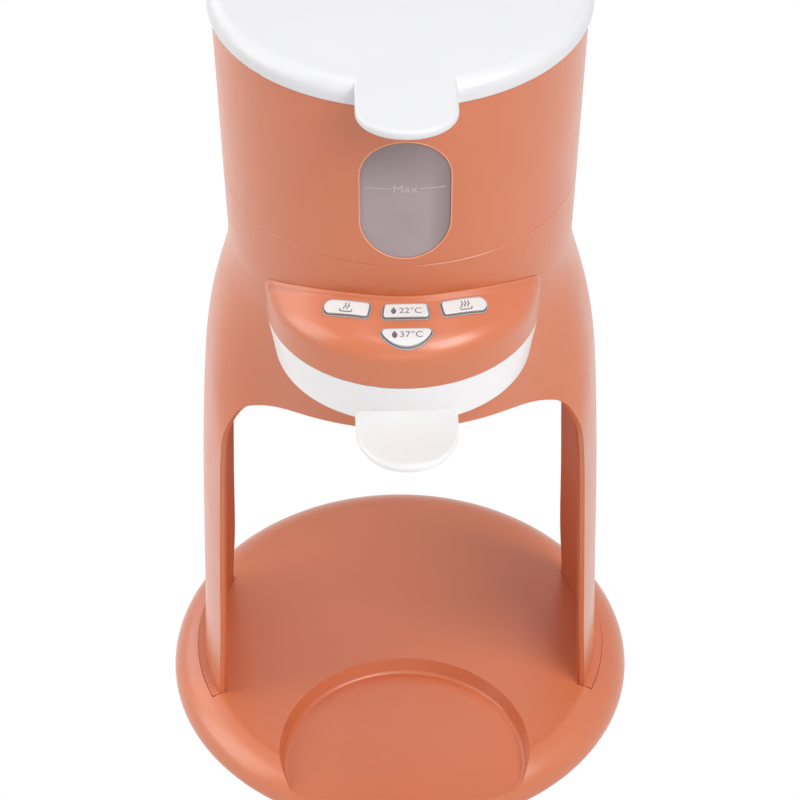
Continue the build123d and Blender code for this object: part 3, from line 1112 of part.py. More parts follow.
board_face = POWER_BOARD_HEIGHT + BOARD_THICKNESS
with BuildPart() as transformer:
    with Locations((-12, POWER_BOARD_Y + 4, board_face)):
        Box(*TRANSFORMER_SIZE, align=FLUSH)
    fillet(transformer.edges().filter_by(Axis.Z), radius=1)
save(transformer.part, "transformer")

with BuildPart() as capacitor:
    with Locations((9, POWER_BOARD_Y + 7, board_face)):
        Cylinder(5, 13, align=FLUSH)
    fillet(capacitor.edges().group_by(Axis.Z)[-1], radius=0.6)
save(capacitor.part, "capacitor")

with BuildPart() as relay:
    with Locations((12, POWER_BOARD_Y - 8, board_face)):
        Box(*RELAY_SIZE, align=FLUSH)
save(relay.part, "relay")

with BuildPart() as cord_gland:
    with Locations(Location((0, HUB_RADIUS - 5, CORD_HEIGHT), (-90, 0, 0))):
        Cylinder(GLAND_RADIUS, 7.7, align=FLUSH)
        Cylinder(GLAND_RADIUS + 2, 2.6, align=FLUSH)
    with Locations(Location((0, HUB_RADIUS + FIT, CORD_HEIGHT), (-90, 0, 0))):
        Cylinder(GLAND_RADIUS + 2.5, 2.6, align=FLUSH)
    fillet(cord_gland.edges().group_by(Axis.Y)[-1], radius=0.8)
    with Locations(Location((0, HUB_RADIUS, CORD_HEIGHT), (-90, 0, 0))):
        Cylinder(3.3, 20, mode=Mode.SUBTRACT)
save(cord_gland.part, "cord_gland")
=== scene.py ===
import json
import math
import bpy
from mathutils import Matrix, Vector


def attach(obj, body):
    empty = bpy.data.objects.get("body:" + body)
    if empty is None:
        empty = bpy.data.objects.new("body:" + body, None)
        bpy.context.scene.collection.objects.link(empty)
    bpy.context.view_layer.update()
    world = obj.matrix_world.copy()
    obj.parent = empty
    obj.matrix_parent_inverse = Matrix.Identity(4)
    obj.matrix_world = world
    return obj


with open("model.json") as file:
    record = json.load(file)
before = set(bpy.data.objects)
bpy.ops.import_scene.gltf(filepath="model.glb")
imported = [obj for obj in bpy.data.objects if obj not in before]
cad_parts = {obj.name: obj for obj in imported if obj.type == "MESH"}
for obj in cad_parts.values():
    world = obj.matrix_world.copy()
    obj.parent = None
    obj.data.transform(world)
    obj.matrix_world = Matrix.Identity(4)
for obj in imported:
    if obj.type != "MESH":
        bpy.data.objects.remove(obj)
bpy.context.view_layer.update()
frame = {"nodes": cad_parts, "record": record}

# Looks of the baby formula maker. Metres, +Z up, front towards -Y, origin under the middle of the base.
MM = 0.001

# ---- sizes shared with the solids ---------------------------------------------------------------------
CONSOLE_TOP = 228.0 * MM            # height of the console where it meets the collar
CONSOLE_ROOT = 58.2 * MM            # radius of the collar there
CONSOLE_SLOPE = math.tan(math.radians(21))
CONSOLE_FALL = 7.4 * MM             # how far the crowned top has fallen at FALL_X to each side
FALL_X = 33.0 * MM
FALL_POWER = 2.7
ROW_RADIUS = 63.6 * MM              # distance of the row of three buttons from the axis
LOW_BUTTON_RADIUS = 69.7 * MM
SIDE_BUTTON_ANGLE = math.radians(17.2)
CAP_PROUD = 1.0 * MM                # how far the caps stand over the console
SEAM_RADIUS = 58.4 * MM             # of the drum, at its seam with the collar
SEAM_HEIGHT = 240.5 * MM
MOUTH_RADIUS = 60.0 * MM            # of the drum, at its mouth
MOUTH_HEIGHT = 302.0 * MM
LENS_DEPTH = 0.4 * MM               # how far the lens lies behind the drum's face

# ---- sizes of the marks and the trim ------------------------------------------------------------------
INK = 0.04 * MM                     # thickness of the printed marks
CURVE_STEPS = 6                     # steps between two points of a letter or a stroke
BEVEL_STEPS = 3
DROP_STEPS = 32
DROP_TAPER = 0.7                    # power by which the drop narrows to its point
STROKE_SHARE = 0.105                # width of a stroke, as a share of the steam sign's size
WAVE_GAP = 0.32                     # from wave to wave, as a share of the size
STEAM_WAVE = ((-0.05, -0.20), (-0.15, -0.02), (0.15, 0.16), (-0.02, 0.30), (0.06, 0.46))
STEAM_TRAY = ((-0.60, -0.18), (-0.56, -0.42), (-0.40, -0.44), (0.40, -0.44), (0.56, -0.42), (0.60, -0.18))
LEVEL_HEIGHT = 270.7 * MM
LEVEL_WORD = (7.6 * MM, 2.6 * MM)   # width and height of the word on the level mark
LEVEL_REACH = 12.4 * MM             # how far the level lines run to each side
WORD_LEFT = -4.6 * MM               # where they stop beside the word
WORD_RIGHT = 4.4 * MM
LINE_WIDTH = 0.28 * MM
LINE_STEPS = 16
RIM_WIDTH = 28.7 * MM               # of the bead round the window's opening
RIM_LOW = 243.2 * MM
RIM_HIGH = 289.1 * MM
RIM_THICKNESS = 0.5 * MM
RIM_SUNK = 0.3                      # share of the bead's thickness that lies in the drum
RIM_STEPS = 24
VALLEY_WIDTH = 2.6 * MM             # of the valley between the console and the collar
VALLEY_DEPTH = 0.9 * MM
LENS_SHADE_SIDE = (7.0 * MM, 14.5 * MM)   # painted shade darkens the lens over this span of x
LENS_SHADE_TOP = (268.0 * MM, 290.0 * MM)     # and over this span of height

# ---- values shared by the finishes --------------------------------------------------------------------
GRAIN_DEPTH = 0.05 * MM             # of the fine texture that a mould leaves
GRAIN_SCALE = 2600
NOISE_SPAN = (0.3, 0.7)             # nearly all of the noise lies between these
CLOUD_DETAIL = 3.0
EDGE_RADIUS = 0.7 * MM              # edges sharper than this are polished by handling
EDGE_TURN = (0.99, 0.80)            # cosines of the turn where the polish starts and where it is full
EDGE_SAMPLES = 4
PALER = 1.35                        # factor of polished edges and of dust
COAT_ROUGHNESS = 0.25
PLASTIC_IOR = 1.49


# ---- finishes -----------------------------------------------------------------------------------------
def paint(red, green, blue):
    """Linear colour of an sRGB colour given in steps of 255."""
    def linear(step):
        share = step / 255
        return share / 12.92 if share <= 0.04045 else ((share + 0.055) / 1.055) ** 2.4
    return (linear(red), linear(green), linear(blue), 1.0)


def shifted(colour, factor):
    """Colour made lighter or darker by a factor."""
    return tuple(min(1.0, channel * factor) for channel in colour[:3]) + (1.0,)


def opened(material):
    tree = material.node_tree
    return tree, tree.nodes["Principled BSDF"]


def new_material(name):
    material = bpy.data.materials.new(name)
    material.use_nodes = True
    return material, *opened(material)


def set_inputs(node, values):
    for name, value in values.items():
        node.inputs[name].default_value = value


def object_place(tree):
    """Coordinates that are fixed to the piece."""
    return tree.nodes.new("ShaderNodeTexCoord").outputs["Object"]


def object_noise(tree, scale, detail=2.0, roughness=0.5, stretch=None):
    """Noise that is fixed to the piece, with its cells stretched along the axes if asked."""
    noise = tree.nodes.new("ShaderNodeTexNoise")
    set_inputs(noise, {"Scale": scale, "Detail": detail, "Roughness": roughness})
    source = object_place(tree)
    if stretch:
        mapping = tree.nodes.new("ShaderNodeMapping")
        set_inputs(mapping, {"Scale": stretch})
        tree.links.new(source, mapping.inputs["Vector"])
        source = mapping.outputs["Vector"]
    tree.links.new(source, noise.inputs["Vector"])
    return noise.outputs["Fac"]


def remap(tree, value, low, high, to_low=0.0, to_high=1.0):
    node = tree.nodes.new("ShaderNodeMapRange")
    set_inputs(node, {"From Min": low, "From Max": high, "To Min": to_low, "To Max": to_high})
    tree.links.new(value, node.inputs["Value"])
    return node.outputs["Result"]


def spread(tree, noise, low=0.0, high=1.0):
    """Noise drawn out over a whole range."""
    return remap(tree, noise, *NOISE_SPAN, low, high)


def axis_share(tree, vector, axis, start, end):
    """Share that grows from 0 to 1 as one axis of a vector goes from start to end."""
    parts = tree.nodes.new("ShaderNodeSeparateXYZ")
    tree.links.new(vector, parts.inputs["Vector"])
    return remap(tree, parts.outputs[axis], start, end)


def upward_share(tree, start, end):
    """Share that grows from 0 to 1 as the surface's normal turns upwards or away from it."""
    surface = tree.nodes.new("ShaderNodeNewGeometry")
    return axis_share(tree, surface.outputs["True Normal"], "Z", start, end)


def blend_colours(tree, share, first, second):
    """Colour between two colours or sockets by a share from 0 to 1."""
    mix = tree.nodes.new("ShaderNodeMix")
    mix.data_type = "RGBA"
    tree.links.new(share, mix.inputs["Factor"])
    for socket, colour in ((mix.inputs["A"], first), (mix.inputs["B"], second)):
        if isinstance(colour, tuple):
            socket.default_value = colour
        else:
            tree.links.new(colour, socket)
    return mix.outputs["Result"]


def cloudy(tree, colour, scale, tint):
    """Colour that drifts a little lighter and darker over the piece."""
    cloud = spread(tree, object_noise(tree, scale, detail=CLOUD_DETAIL))
    return blend_colours(tree, cloud, shifted(colour, 1 - tint), shifted(colour, 1 + tint))


def edge_share(tree):
    """1 where the surface turns within the edge radius, and 0 on open faces."""
    bevel = tree.nodes.new("ShaderNodeBevel")
    bevel.samples = EDGE_SAMPLES
    set_inputs(bevel, {"Radius": EDGE_RADIUS})
    surface = tree.nodes.new("ShaderNodeNewGeometry")
    dot = tree.nodes.new("ShaderNodeVectorMath")
    dot.operation = "DOT_PRODUCT"
    tree.links.new(bevel.outputs["Normal"], dot.inputs[0])
    tree.links.new(surface.outputs["Normal"], dot.inputs[1])
    return remap(tree, dot.outputs["Value"], *EDGE_TURN)


def emboss(tree, shader, height, strength, depth=GRAIN_DEPTH, under=None):
    """Bump on the shader's normal, laid over another normal if one is given."""
    bump = tree.nodes.new("ShaderNodeBump")
    set_inputs(bump, {"Strength": strength, "Distance": depth})
    tree.links.new(height, bump.inputs["Height"])
    if under is not None:
        tree.links.new(under, bump.inputs["Normal"])
    tree.links.new(bump.outputs["Normal"], shader.inputs["Normal"])


def moulded(name, colour, roughness, grain=0.10, tint=0.025, wear=0.12, coat=0.0):
    """Injection-moulded plastic: faint cloudiness, fine texture of the mould, polished edges."""
    material, tree, shader = new_material(name)
    body = cloudy(tree, colour, 22, tint)
    worn = remap(tree, edge_share(tree), 0.0, 1.0, 0.0, wear)
    tree.links.new(blend_colours(tree, worn, body, shifted(colour, PALER)), shader.inputs["Base Color"])
    smear = object_noise(tree, scale=60, detail=4.0, roughness=0.6)
    tree.links.new(spread(tree, smear, roughness - 0.03, roughness + 0.04), shader.inputs["Roughness"])
    emboss(tree, shader, object_noise(tree, GRAIN_SCALE, detail=1.0), grain)
    set_inputs(shader, {"Coat Weight": coat, "Coat Roughness": COAT_ROUGHNESS})
    return material


def capped(name, face, side, roughness):
    """Button that is white where it faces upwards and grey on its side walls."""
    material, tree, shader = new_material(name)
    top = cloudy(tree, face, 90, tint=0.01)
    upwards = upward_share(tree, start=0.45, end=0.55)
    tree.links.new(blend_colours(tree, upwards, side, top), shader.inputs["Base Color"])
    set_inputs(shader, {"Roughness": roughness})
    emboss(tree, shader, object_noise(tree, GRAIN_SCALE, detail=1.0), strength=0.04)
    return material


def drawer_plastic_with_painted_light(name, colour, roughness):
    """White plastic with painted light: its upright walls are painted a little paler than the thin tongue's
    top.
    """
    material = moulded(name, colour, roughness, grain=0.05, tint=0.008, wear=0.05)
    tree, shader = opened(material)
    base = shader.inputs["Base Color"]
    # painted light: the upright walls are painted 1.2 times paler than the tongue's top
    upright = upward_share(tree, start=0.8, end=0.4)
    tree.links.new(blend_colours(tree, upright, base.links[0].from_socket, shifted(colour, 1.2)), base)
    return material


def rimmed_plastic(name, colour, roughness):
    """Terracotta plastic of the console, with a soft valley and a raised rim along the collar."""
    material = moulded(name, colour, roughness, grain=0.10, tint=0.02, wear=0.06, coat=0.6)
    tree, shader = opened(material)
    flat = tree.nodes.new("ShaderNodeVectorMath")
    flat.operation = "MULTIPLY"
    flat.inputs[1].default_value = (1, 1, 0)
    tree.links.new(object_place(tree), flat.inputs[0])
    reach = tree.nodes.new("ShaderNodeVectorMath")
    reach.operation = "LENGTH"
    tree.links.new(flat.outputs["Vector"], reach.inputs[0])
    rim = remap(tree, reach.outputs["Value"], CONSOLE_ROOT + VALLEY_WIDTH, CONSOLE_ROOT)
    rim.node.interpolation_type = "SMOOTHERSTEP"
    grained = shader.inputs["Normal"].links[0].from_socket
    emboss(tree, shader, rim, strength=1.0, depth=VALLEY_DEPTH, under=grained)
    return material


def smoked(name, colour, roughness, clear=0.35, tint=0.06):
    """Moulded see-through plastic, cloudy enough that what lies behind is soft."""
    material, tree, shader = new_material(name)
    tree.links.new(cloudy(tree, colour, 45, tint), shader.inputs["Base Color"])
    set_inputs(shader, {"Transmission Weight": clear, "Roughness": roughness, "IOR": PLASTIC_IOR})
    emboss(tree, shader, object_noise(tree, scale=900), strength=0.04)
    return material


def smoked_lens_with_painted_shade(name, colour, painted_shade, roughness):
    """Smoked lens with painted shade, darker towards its +X edge and its top."""
    material = smoked(name, colour, roughness)
    tree, shader = opened(material)
    base = shader.inputs["Base Color"]
    # painted shade: the lens is darkened towards its +X edge and towards its top
    beside = axis_share(tree, object_place(tree), "X", *LENS_SHADE_SIDE)
    above = axis_share(tree, object_place(tree), "Z", *LENS_SHADE_TOP)
    shaded = blend_colours(tree, beside, base.links[0].from_socket, painted_shade)
    tree.links.new(blend_colours(tree, above, shaded, painted_shade), base)
    return material


def rubbery(name, colour, roughness):
    """Soft rubber or silicone: dusty, with a broad sheen."""
    material, tree, shader = new_material(name)
    dust = remap(tree, object_noise(tree, scale=140, detail=5.0, roughness=0.65), low=0.4, high=0.7)
    tree.links.new(blend_colours(tree, dust, colour, shifted(colour, PALER)), shader.inputs["Base Color"])
    set_inputs(shader, {"Roughness": roughness, "Sheen Weight": 0.15})
    emboss(tree, shader, object_noise(tree, scale=1800), strength=0.15)
    return material


def metallic(name, colour, roughness, stretch):
    """Worked metal: streaks along the way it was drawn, turned or cast."""
    material, tree, shader = new_material(name)
    streak = object_noise(tree, scale=900, detail=4.0, roughness=0.6, stretch=stretch)
    streaked = blend_colours(tree, spread(tree, streak), shifted(colour, 0.86), colour)
    tree.links.new(streaked, shader.inputs["Base Color"])
    tree.links.new(spread(tree, streak, roughness - 0.07, roughness + 0.08), shader.inputs["Roughness"])
    set_inputs(shader, {"Metallic": 1.0})
    emboss(tree, shader, streak, strength=0.08, depth=0.03 * MM)
    return material


def wound_copper(name):
    """Enamelled wire laid in even turns round an upright bobbin."""
    material, tree, shader = new_material(name)
    turns = tree.nodes.new("ShaderNodeTexWave")
    turns.bands_direction = "Z"
    set_inputs(turns, {"Scale": 900, "Distortion": 0.4})
    tree.links.new(object_place(tree), turns.inputs["Vector"])
    wire = blend_colours(tree, turns.outputs["Fac"], paint(96, 44, 20), paint(190, 104, 56))
    tree.links.new(wire, shader.inputs["Base Color"])
    set_inputs(shader, {"Metallic": 0.8, "Roughness": 0.3})
    emboss(tree, shader, turns.outputs["Fac"], strength=0.5, depth=0.1 * MM)
    return material


def circuit_board(name):
    """Green solder mask with paler patches where the copper runs under it."""
    material, tree, shader = new_material(name)
    cells = tree.nodes.new("ShaderNodeTexVoronoi")
    cells.distance = "MANHATTAN"
    set_inputs(cells, {"Scale": 260})
    tree.links.new(object_place(tree), cells.inputs["Vector"])
    runs = remap(tree, cells.outputs["Distance"], low=0.45, high=0.5)
    mask = blend_colours(tree, runs, paint(18, 84, 46), paint(40, 120, 66))
    tree.links.new(mask, shader.inputs["Base Color"])
    set_inputs(shader, {"Roughness": 0.35, "Coat Weight": 0.3})
    emboss(tree, shader, runs, strength=0.2)
    return material


TERRACOTTA = paint(206, 113, 72)
finishes = {
    "terracotta": moulded("terracotta_plastic", TERRACOTTA, roughness=0.38, tint=0.02, wear=0.06, coat=0.6),
    "white_plastic": moulded("white_lid_plastic", paint(220, 220, 222), roughness=0.34, grain=0.05,
                             tint=0.008, wear=0.05),
    "button_white": capped("white_cap_plastic", face=paint(226, 225, 225), side=paint(178, 173, 172),
                           roughness=0.34),
    "bezel_grey": moulded("grey_rim_plastic", paint(176, 171, 170), roughness=0.42, grain=0.08),
    # the window's lens carries painted shade towards +X and towards its top
    "smoke_window": smoked_lens_with_painted_shade("smoked_window_painted_shade", paint(196, 178, 179), painted_shade=paint(158, 139, 140),
                                roughness=0.12),
    "tank_clear": smoked("clear_tank", paint(214, 214, 218), roughness=0.18, tint=0.03),
    "soft_rubber": rubbery("black_rubber", paint(58, 56, 55), roughness=0.75),
    "hose_silicone": rubbery("milky_silicone", paint(214, 212, 206), roughness=0.5),
    "inner_grey": moulded("grey_inner_plastic", paint(168, 168, 170), roughness=0.5, grain=0.14, tint=0.04),
    "screw_steel": metallic("bright_steel", paint(190, 190, 192), roughness=0.28, stretch=(1, 1, 0.1)),
    "board_green": circuit_board("green_board"),
    "part_black": moulded("black_component_plastic", paint(44, 43, 45), roughness=0.4, tint=0.08, wear=0.2),
    "heater_aluminium": metallic("cast_aluminium", paint(196, 197, 200), roughness=0.45,
                                 stretch=(0.25, 0.25, 0.25)),
    "element_steel": metallic("drawn_steel_tube", paint(170, 166, 160), roughness=0.32,
                              stretch=(0.3, 0.3, 1)),
    "coil_copper": wound_copper("copper_coil"),
    "transformer_yellow": moulded("yellow_tape", paint(204, 168, 66), roughness=0.5, grain=0.05, tint=0.06),
}
ink = moulded("grey_ink", paint(106, 100, 98), roughness=0.6, grain=0.05, tint=0.04, wear=0.0)
scale_ink = moulded("pale_scale_ink", paint(188, 174, 175), roughness=0.5, grain=0.05, tint=0.03, wear=0.0)

slot_of = {entry["node"]: entry["material_slot"] for entry in frame["record"]["subparts"]}
own_finishes = {
    # the drawer's upright walls carry painted light
    "powder_drawer": drawer_plastic_with_painted_light("white_drawer_plastic", paint(222, 221, 221), roughness=0.34),
    "control_panel": rimmed_plastic("terracotta_console_plastic", TERRACOTTA, roughness=0.36),
    # painted shade: the leg liners are painted darker than the other terracotta parts
    **dict.fromkeys(("leg_liner_left", "leg_liner_right"),
                    moulded("terracotta_liner_painted_shade", paint(197, 101, 62), roughness=0.60,
                            grain=0.12, wear=0.04)),
}
for node, piece in frame["nodes"].items():
    for holder in piece.material_slots:
        holder.material = own_finishes.get(node, finishes[slot_of[node]])


# ---- flat marks ---------------------------------------------------------------------------------------
def deselect():
    bpy.ops.object.select_all(action="DESELECT")


def as_mesh(piece):
    """Turns a text or curve into a mesh, with its place taken into the mesh."""
    deselect()
    bpy.context.view_layer.objects.active = piece
    piece.select_set(True)
    bpy.ops.object.convert(target="MESH")
    bpy.ops.object.transform_apply(location=True, rotation=True, scale=True)
    return bpy.context.view_layer.objects.active


def thicken(piece):
    """Gives a flat mesh the thickness of the ink."""
    bpy.ops.object.mode_set(mode="EDIT")
    bpy.ops.mesh.select_all(action="SELECT")
    bpy.ops.mesh.extrude_region_move(TRANSFORM_OT_translate={"value": (0, 0, INK)})
    bpy.ops.mesh.select_all(action="SELECT")
    bpy.ops.mesh.normals_make_consistent(inside=False)
    bpy.ops.object.mode_set(mode="OBJECT")
    return piece


def tube(name, kind, points, thickness):
    """Curve of one spline through the points, round in section: the object and its spline."""
    curve = bpy.data.curves.new(name, "CURVE")
    curve.dimensions = "3D"
    curve.bevel_depth = thickness / 2
    curve.bevel_resolution = BEVEL_STEPS
    line = curve.splines.new(kind)
    line.points.add(len(points) - 1)
    for point, place in zip(line.points, points):
        point.co = (*place, 1)
    piece = bpy.data.objects.new(name, curve)
    bpy.context.collection.objects.link(piece)
    return piece, line


def letters(words, width, height, middle):
    """Flat letters drawn out to a width and a capital height, centred on a point of the face."""
    deselect()
    bpy.ops.object.text_add()
    piece = bpy.context.object
    piece.data.body = words
    piece.data.align_x = "CENTER"
    piece.data.align_y = "CENTER"
    piece.data.extrude = INK / 2
    piece.data.resolution_u = CURVE_STEPS
    piece = as_mesh(piece)
    across = [vertex.co.x for vertex in piece.data.vertices]
    upright = [vertex.co.y for vertex in piece.data.vertices]
    for vertex in piece.data.vertices:
        x = (vertex.co.x - min(across)) / (max(across) - min(across)) - 0.5
        y = (vertex.co.y - min(upright)) / (max(upright) - min(upright)) - 0.5
        vertex.co = (middle[0] + x * width, middle[1] + y * height, vertex.co.z)
    return piece


def stroke(points, width):
    """Drawn line through flat points, pressed to the thickness of the ink."""
    piece, line = tube("stroke", "NURBS", [(x, y, 0) for x, y in points], width)
    piece.data.use_fill_caps = True
    line.order_u = 3
    line.use_endpoint_u = True
    line.resolution_u = CURVE_STEPS
    piece.scale = (1, 1, INK / width)
    return as_mesh(piece)


def water_drop(middle, width, height):
    """Filled drop with a pointed top."""
    deselect()
    bpy.ops.mesh.primitive_circle_add(vertices=DROP_STEPS, radius=1.0, fill_type="NGON")
    piece = bpy.context.object
    for vertex in piece.data.vertices:
        x, y = vertex.co.x, vertex.co.y
        narrow = 1.0 if y < 0 else max(0.0, 1 - y) ** DROP_TAPER
        vertex.co = (middle[0] + x * narrow * width / 2, middle[1] + y * height / 2, -INK / 2)
    return thicken(piece)


def temperature(words, text_middle, text_size, drop_middle, drop_size):
    """A drop and the degrees beside it."""
    return [water_drop(drop_middle, *drop_size), letters(words, *text_size, text_middle)]


def steam_sign(middle, waves, size):
    """Rising steam over a shallow tray."""
    def sign(shape, x):
        points = [(x + across * size, middle[1] + up * size) for across, up in shape]
        return stroke(points, STROKE_SHARE * size)
    starts = [middle[0] + (number - (waves - 1) / 2) * WAVE_GAP * size for number in range(waves)]
    return [sign(STEAM_WAVE, start) for start in starts] + [sign(STEAM_TRAY, middle[0])]


def joined(name, pieces):
    """One piece of several, under a new name."""
    deselect()
    for piece in pieces:
        piece.select_set(True)
    bpy.context.view_layer.objects.active = pieces[0]
    bpy.ops.object.join()
    piece = bpy.context.view_layer.objects.active
    piece.name = name
    return piece


def dress(piece, material, body):
    """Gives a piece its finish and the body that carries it."""
    piece.data.materials.clear()
    piece.data.materials.append(material)
    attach(piece, body)


# ---- marks on the buttons -----------------------------------------------------------------------------
def crown_fall(x):
    """How far the console's top has fallen at a distance to the side."""
    return CONSOLE_FALL * (abs(x) / FALL_X) ** FALL_POWER


def console_height(x, y):
    """Height of the console's top, which slopes to the front and falls away to the sides."""
    return CONSOLE_TOP + (y + CONSOLE_ROOT) * CONSOLE_SLOPE - crown_fall(x)


def cap_plane(radius, turn):
    """Matrix of the plane that touches the console under a button: x along the row, z outwards."""
    x, y = radius * math.sin(turn), -radius * math.cos(turn)
    rise_x = -math.copysign(FALL_POWER * crown_fall(x) / max(abs(x), MM), x)
    outwards = Vector((-rise_x, -CONSOLE_SLOPE, 1)).normalized()
    rise = rise_x * math.cos(turn) + CONSOLE_SLOPE * math.sin(turn)
    along = Vector((math.cos(turn), math.sin(turn), rise)).normalized()
    turned = Matrix((along, outwards.cross(along), outwards)).transposed().to_4x4()
    return Matrix.Translation((x, y, console_height(x, y))) @ turned


def lay_on_cap(piece, plane):
    """Takes flat marks to their cap and lets them follow its crowned face."""
    outwards = plane.to_3x3() @ Vector((0, 0, 1))
    for vertex in piece.data.vertices:
        thickness = vertex.co.z
        spot = plane @ Vector((vertex.co.x, vertex.co.y, 0))
        sink = (spot.z - console_height(spot.x, spot.y)) * outwards.z
        vertex.co = spot + outwards * (CAP_PROUD - sink + thickness)


cap_marks = {
    "button_22": (ROW_RADIUS, 0, lambda: temperature(
        "22°C", text_middle=(1.4 * MM, 0), text_size=(7.1 * MM, 2.1 * MM),
        drop_middle=(-3.9 * MM, 0), drop_size=(1.7 * MM, 2.5 * MM))),
    "button_37": (LOW_BUTTON_RADIUS, 0, lambda: temperature(
        "37°C", text_middle=(1.5 * MM, -2.1 * MM), text_size=(7.3 * MM, 2.2 * MM),
        drop_middle=(-3.8 * MM, -2.1 * MM), drop_size=(1.8 * MM, 2.7 * MM))),
    "button_steam_low": (ROW_RADIUS, -SIDE_BUTTON_ANGLE, lambda: steam_sign(
        middle=(0.2 * MM, 0), waves=2, size=3.4 * MM)),
    "button_steam_high": (ROW_RADIUS, SIDE_BUTTON_ANGLE, lambda: steam_sign(
        middle=(0, 0), waves=3, size=3.4 * MM)),
}
for body, (radius, turn, draw) in cap_marks.items():
    marks = joined("marks_" + body, draw())
    lay_on_cap(marks, cap_plane(radius, turn))
    dress(marks, ink, body)


# ---- level mark and rim of the window -----------------------------------------------------------------
def drum_radius(height):
    """Radius of the drum, which widens from its seam to its mouth."""
    share = (height - SEAM_HEIGHT) / (MOUTH_HEIGHT - SEAM_HEIGHT)
    return SEAM_RADIUS + (MOUTH_RADIUS - SEAM_RADIUS) * share


def on_drum(x, height, proud):
    """Point on the front of the drum, standing proud of it or sunk in it."""
    return (x, -math.sqrt((drum_radius(height) + proud) ** 2 - x ** 2), height)


def level_line(start, end):
    """Thin level mark, in small steps so that it can follow the window's curve."""
    deselect()
    bpy.ops.mesh.primitive_grid_add(x_subdivisions=LINE_STEPS, y_subdivisions=1, size=1)
    piece = bpy.context.object
    for vertex in piece.data.vertices:
        x = (start + end) / 2 + vertex.co.x * (end - start)
        vertex.co = (x, vertex.co.y * LINE_WIDTH, -INK / 2)
    return thicken(piece)


def window_rim(width, low, high, thickness):
    """Fine bead round the opening, laid on the drum: two straight sides and two half-round ends."""
    reach = width / 2
    outline = []
    for side, end in ((1, high - reach), (-1, low + reach)):
        for step in range(RIM_STEPS + 1):
            turn = math.pi * step / RIM_STEPS
            x, height = side * reach * math.cos(turn), end + side * reach * math.sin(turn)
            outline.append(on_drum(x, height, -thickness * RIM_SUNK))
    piece, line = tube("window_rim", "POLY", outline, thickness)
    line.use_cyclic_u = True
    return as_mesh(piece)


level_mark = joined("level_mark", [
    letters("Max", *LEVEL_WORD, (0, 0)),
    level_line(-LEVEL_REACH, WORD_LEFT),
    level_line(WORD_RIGHT, LEVEL_REACH),
])
for vertex in level_mark.data.vertices:
    x, y, proud = vertex.co
    vertex.co = on_drum(x, LEVEL_HEIGHT + y, proud - LENS_DEPTH)
dress(level_mark, scale_ink, "stand")

rim = window_rim(RIM_WIDTH, RIM_LOW, RIM_HIGH, RIM_THICKNESS)
# the bead is a fine raised edge round the window, painted paler than the drum as a painted highlight
edge = moulded("pale_terracotta_painted_highlight", paint(232, 152, 118), roughness=0.3, wear=0.0, coat=0.6)
dress(rim, edge, "stand")

# ---- floor, light, camera -----------------------------------------------------------------------------
FLOOR_SIZE = 5.0
FLOOR_GREY = (0.85, 0.85, 0.85, 1)
WORLD_STRENGTH = 0.16
HEAD = (0, 0, 0.2)
BASE = (0, 0, 0.1)
SOFTBOXES = (                       # name, place, aim, width, height, watts
    ("left_softbox", (-1.3, -0.1, 0.7), HEAD, 0.9, 1.2, 9.5),
    ("top_softbox", (0, -0.2, 1.7), HEAD, 0.9, 0.9, 5.5),
    ("key_softbox", (0.75, -0.85, 1.25), BASE, 0.9, 0.9, 17.5),
    ("front_softbox", (0, -1.5, 0.4), BASE, 1.2, 0.6, 1.8),
    ("rear_left_softbox", (-1.0, 0.9, 0.8), BASE, 0.9, 0.9, 4.5),
    ("rear_top_softbox", (0, 0.65, 1.5), BASE, 1.0, 0.8, 2.6),
)
CAMERA_PLACE = (-22.4 * MM, -776.8 * MM, 806.2 * MM)
CAMERA_PITCH = math.radians(40.86)
CAMERA_YAW = math.radians(-1.65)
CAMERA_LENS = 130.5
CAMERA_SENSOR = 36.0
CAMERA_REACH = 20.0


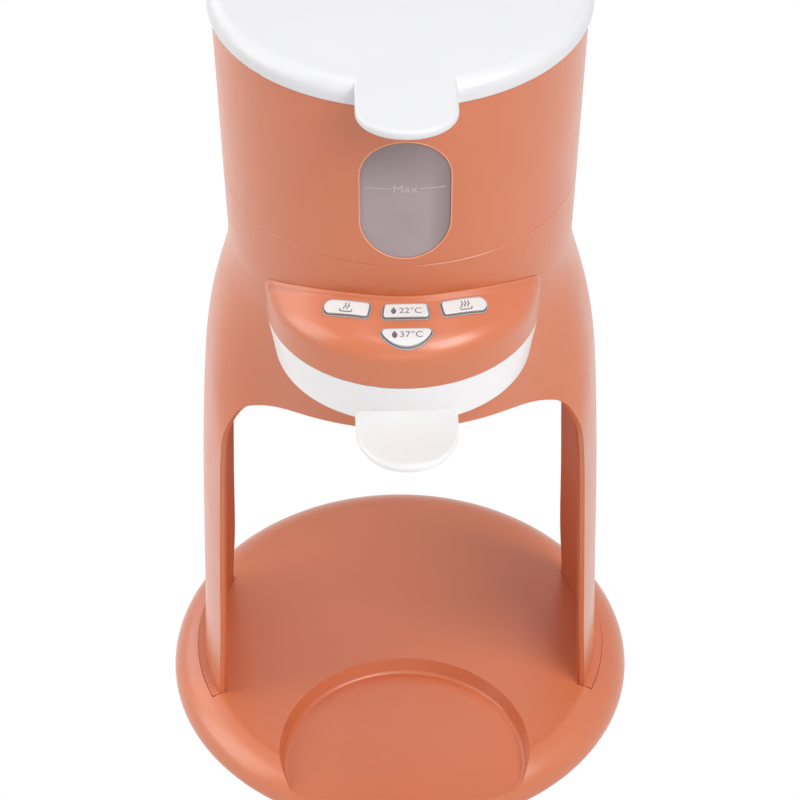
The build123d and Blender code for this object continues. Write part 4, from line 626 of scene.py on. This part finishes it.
def seen_white(tree):
    """1 for rays from the camera and for reflections and see-through rays."""
    rays = tree.nodes.new("ShaderNodeLightPath")
    seen = rays.outputs["Is Camera Ray"]
    for kind in ("Is Glossy Ray", "Is Transmission Ray"):
        either = tree.nodes.new("ShaderNodeMath")
        either.operation = "MAXIMUM"
        tree.links.new(seen, either.inputs[0])
        tree.links.new(rays.outputs[kind], either.inputs[1])
        seen = either.outputs["Value"]
    return seen


def lay_floor():
    """Floor that takes part in the light as a pale floor and is seen as plain white."""
    deselect()
    bpy.ops.mesh.primitive_plane_add(size=FLOOR_SIZE, location=(0, 0, 0))
    floor = bpy.context.object
    floor.name = "floor"
    material, tree, shader = new_material("pale_floor")
    set_inputs(shader, {"Base Color": FLOOR_GREY, "Roughness": 0.8})
    plain = tree.nodes.new("ShaderNodeEmission")
    mix = tree.nodes.new("ShaderNodeMixShader")
    tree.links.new(seen_white(tree), mix.inputs["Fac"])
    tree.links.new(shader.outputs["BSDF"], mix.inputs[1])
    tree.links.new(plain.outputs["Emission"], mix.inputs[2])
    tree.links.new(mix.outputs["Shader"], tree.nodes["Material Output"].inputs["Surface"])
    floor.data.materials.append(material)


def light_world(strength):
    """Soft light from all round, seen as plain white."""
    world = bpy.data.worlds.new("studio")
    bpy.context.scene.world = world
    world.use_nodes = True
    tree = world.node_tree
    background = tree.nodes["Background"]
    set_inputs(background, {"Color": (1, 1, 1, 1)})
    level = remap(tree, seen_white(tree), 0.0, 1.0, strength, 1.0)
    tree.links.new(level, background.inputs["Strength"])


def softbox(name, place, aim, width, height, watts):
    deselect()
    bpy.ops.object.light_add(type="AREA", location=place)
    lamp = bpy.context.object
    lamp.name = name
    lamp.data.shape = "RECTANGLE"
    lamp.data.size = width
    lamp.data.size_y = height
    lamp.data.energy = watts
    lamp.rotation_euler = (Vector(aim) - Vector(place)).to_track_quat("-Z", "Y").to_euler()


lay_floor()
light_world(WORLD_STRENGTH)
for box in SOFTBOXES:
    softbox(*box)

bpy.ops.object.camera_add(location=CAMERA_PLACE, rotation=(math.pi / 2 - CAMERA_PITCH, 0, CAMERA_YAW))
camera = bpy.context.object
camera.data.lens = CAMERA_LENS
camera.data.sensor_width = CAMERA_SENSOR
camera.data.clip_end = CAMERA_REACH
bpy.context.scene.camera = camera
bpy.context.scene.view_settings.view_transform = "Standard"
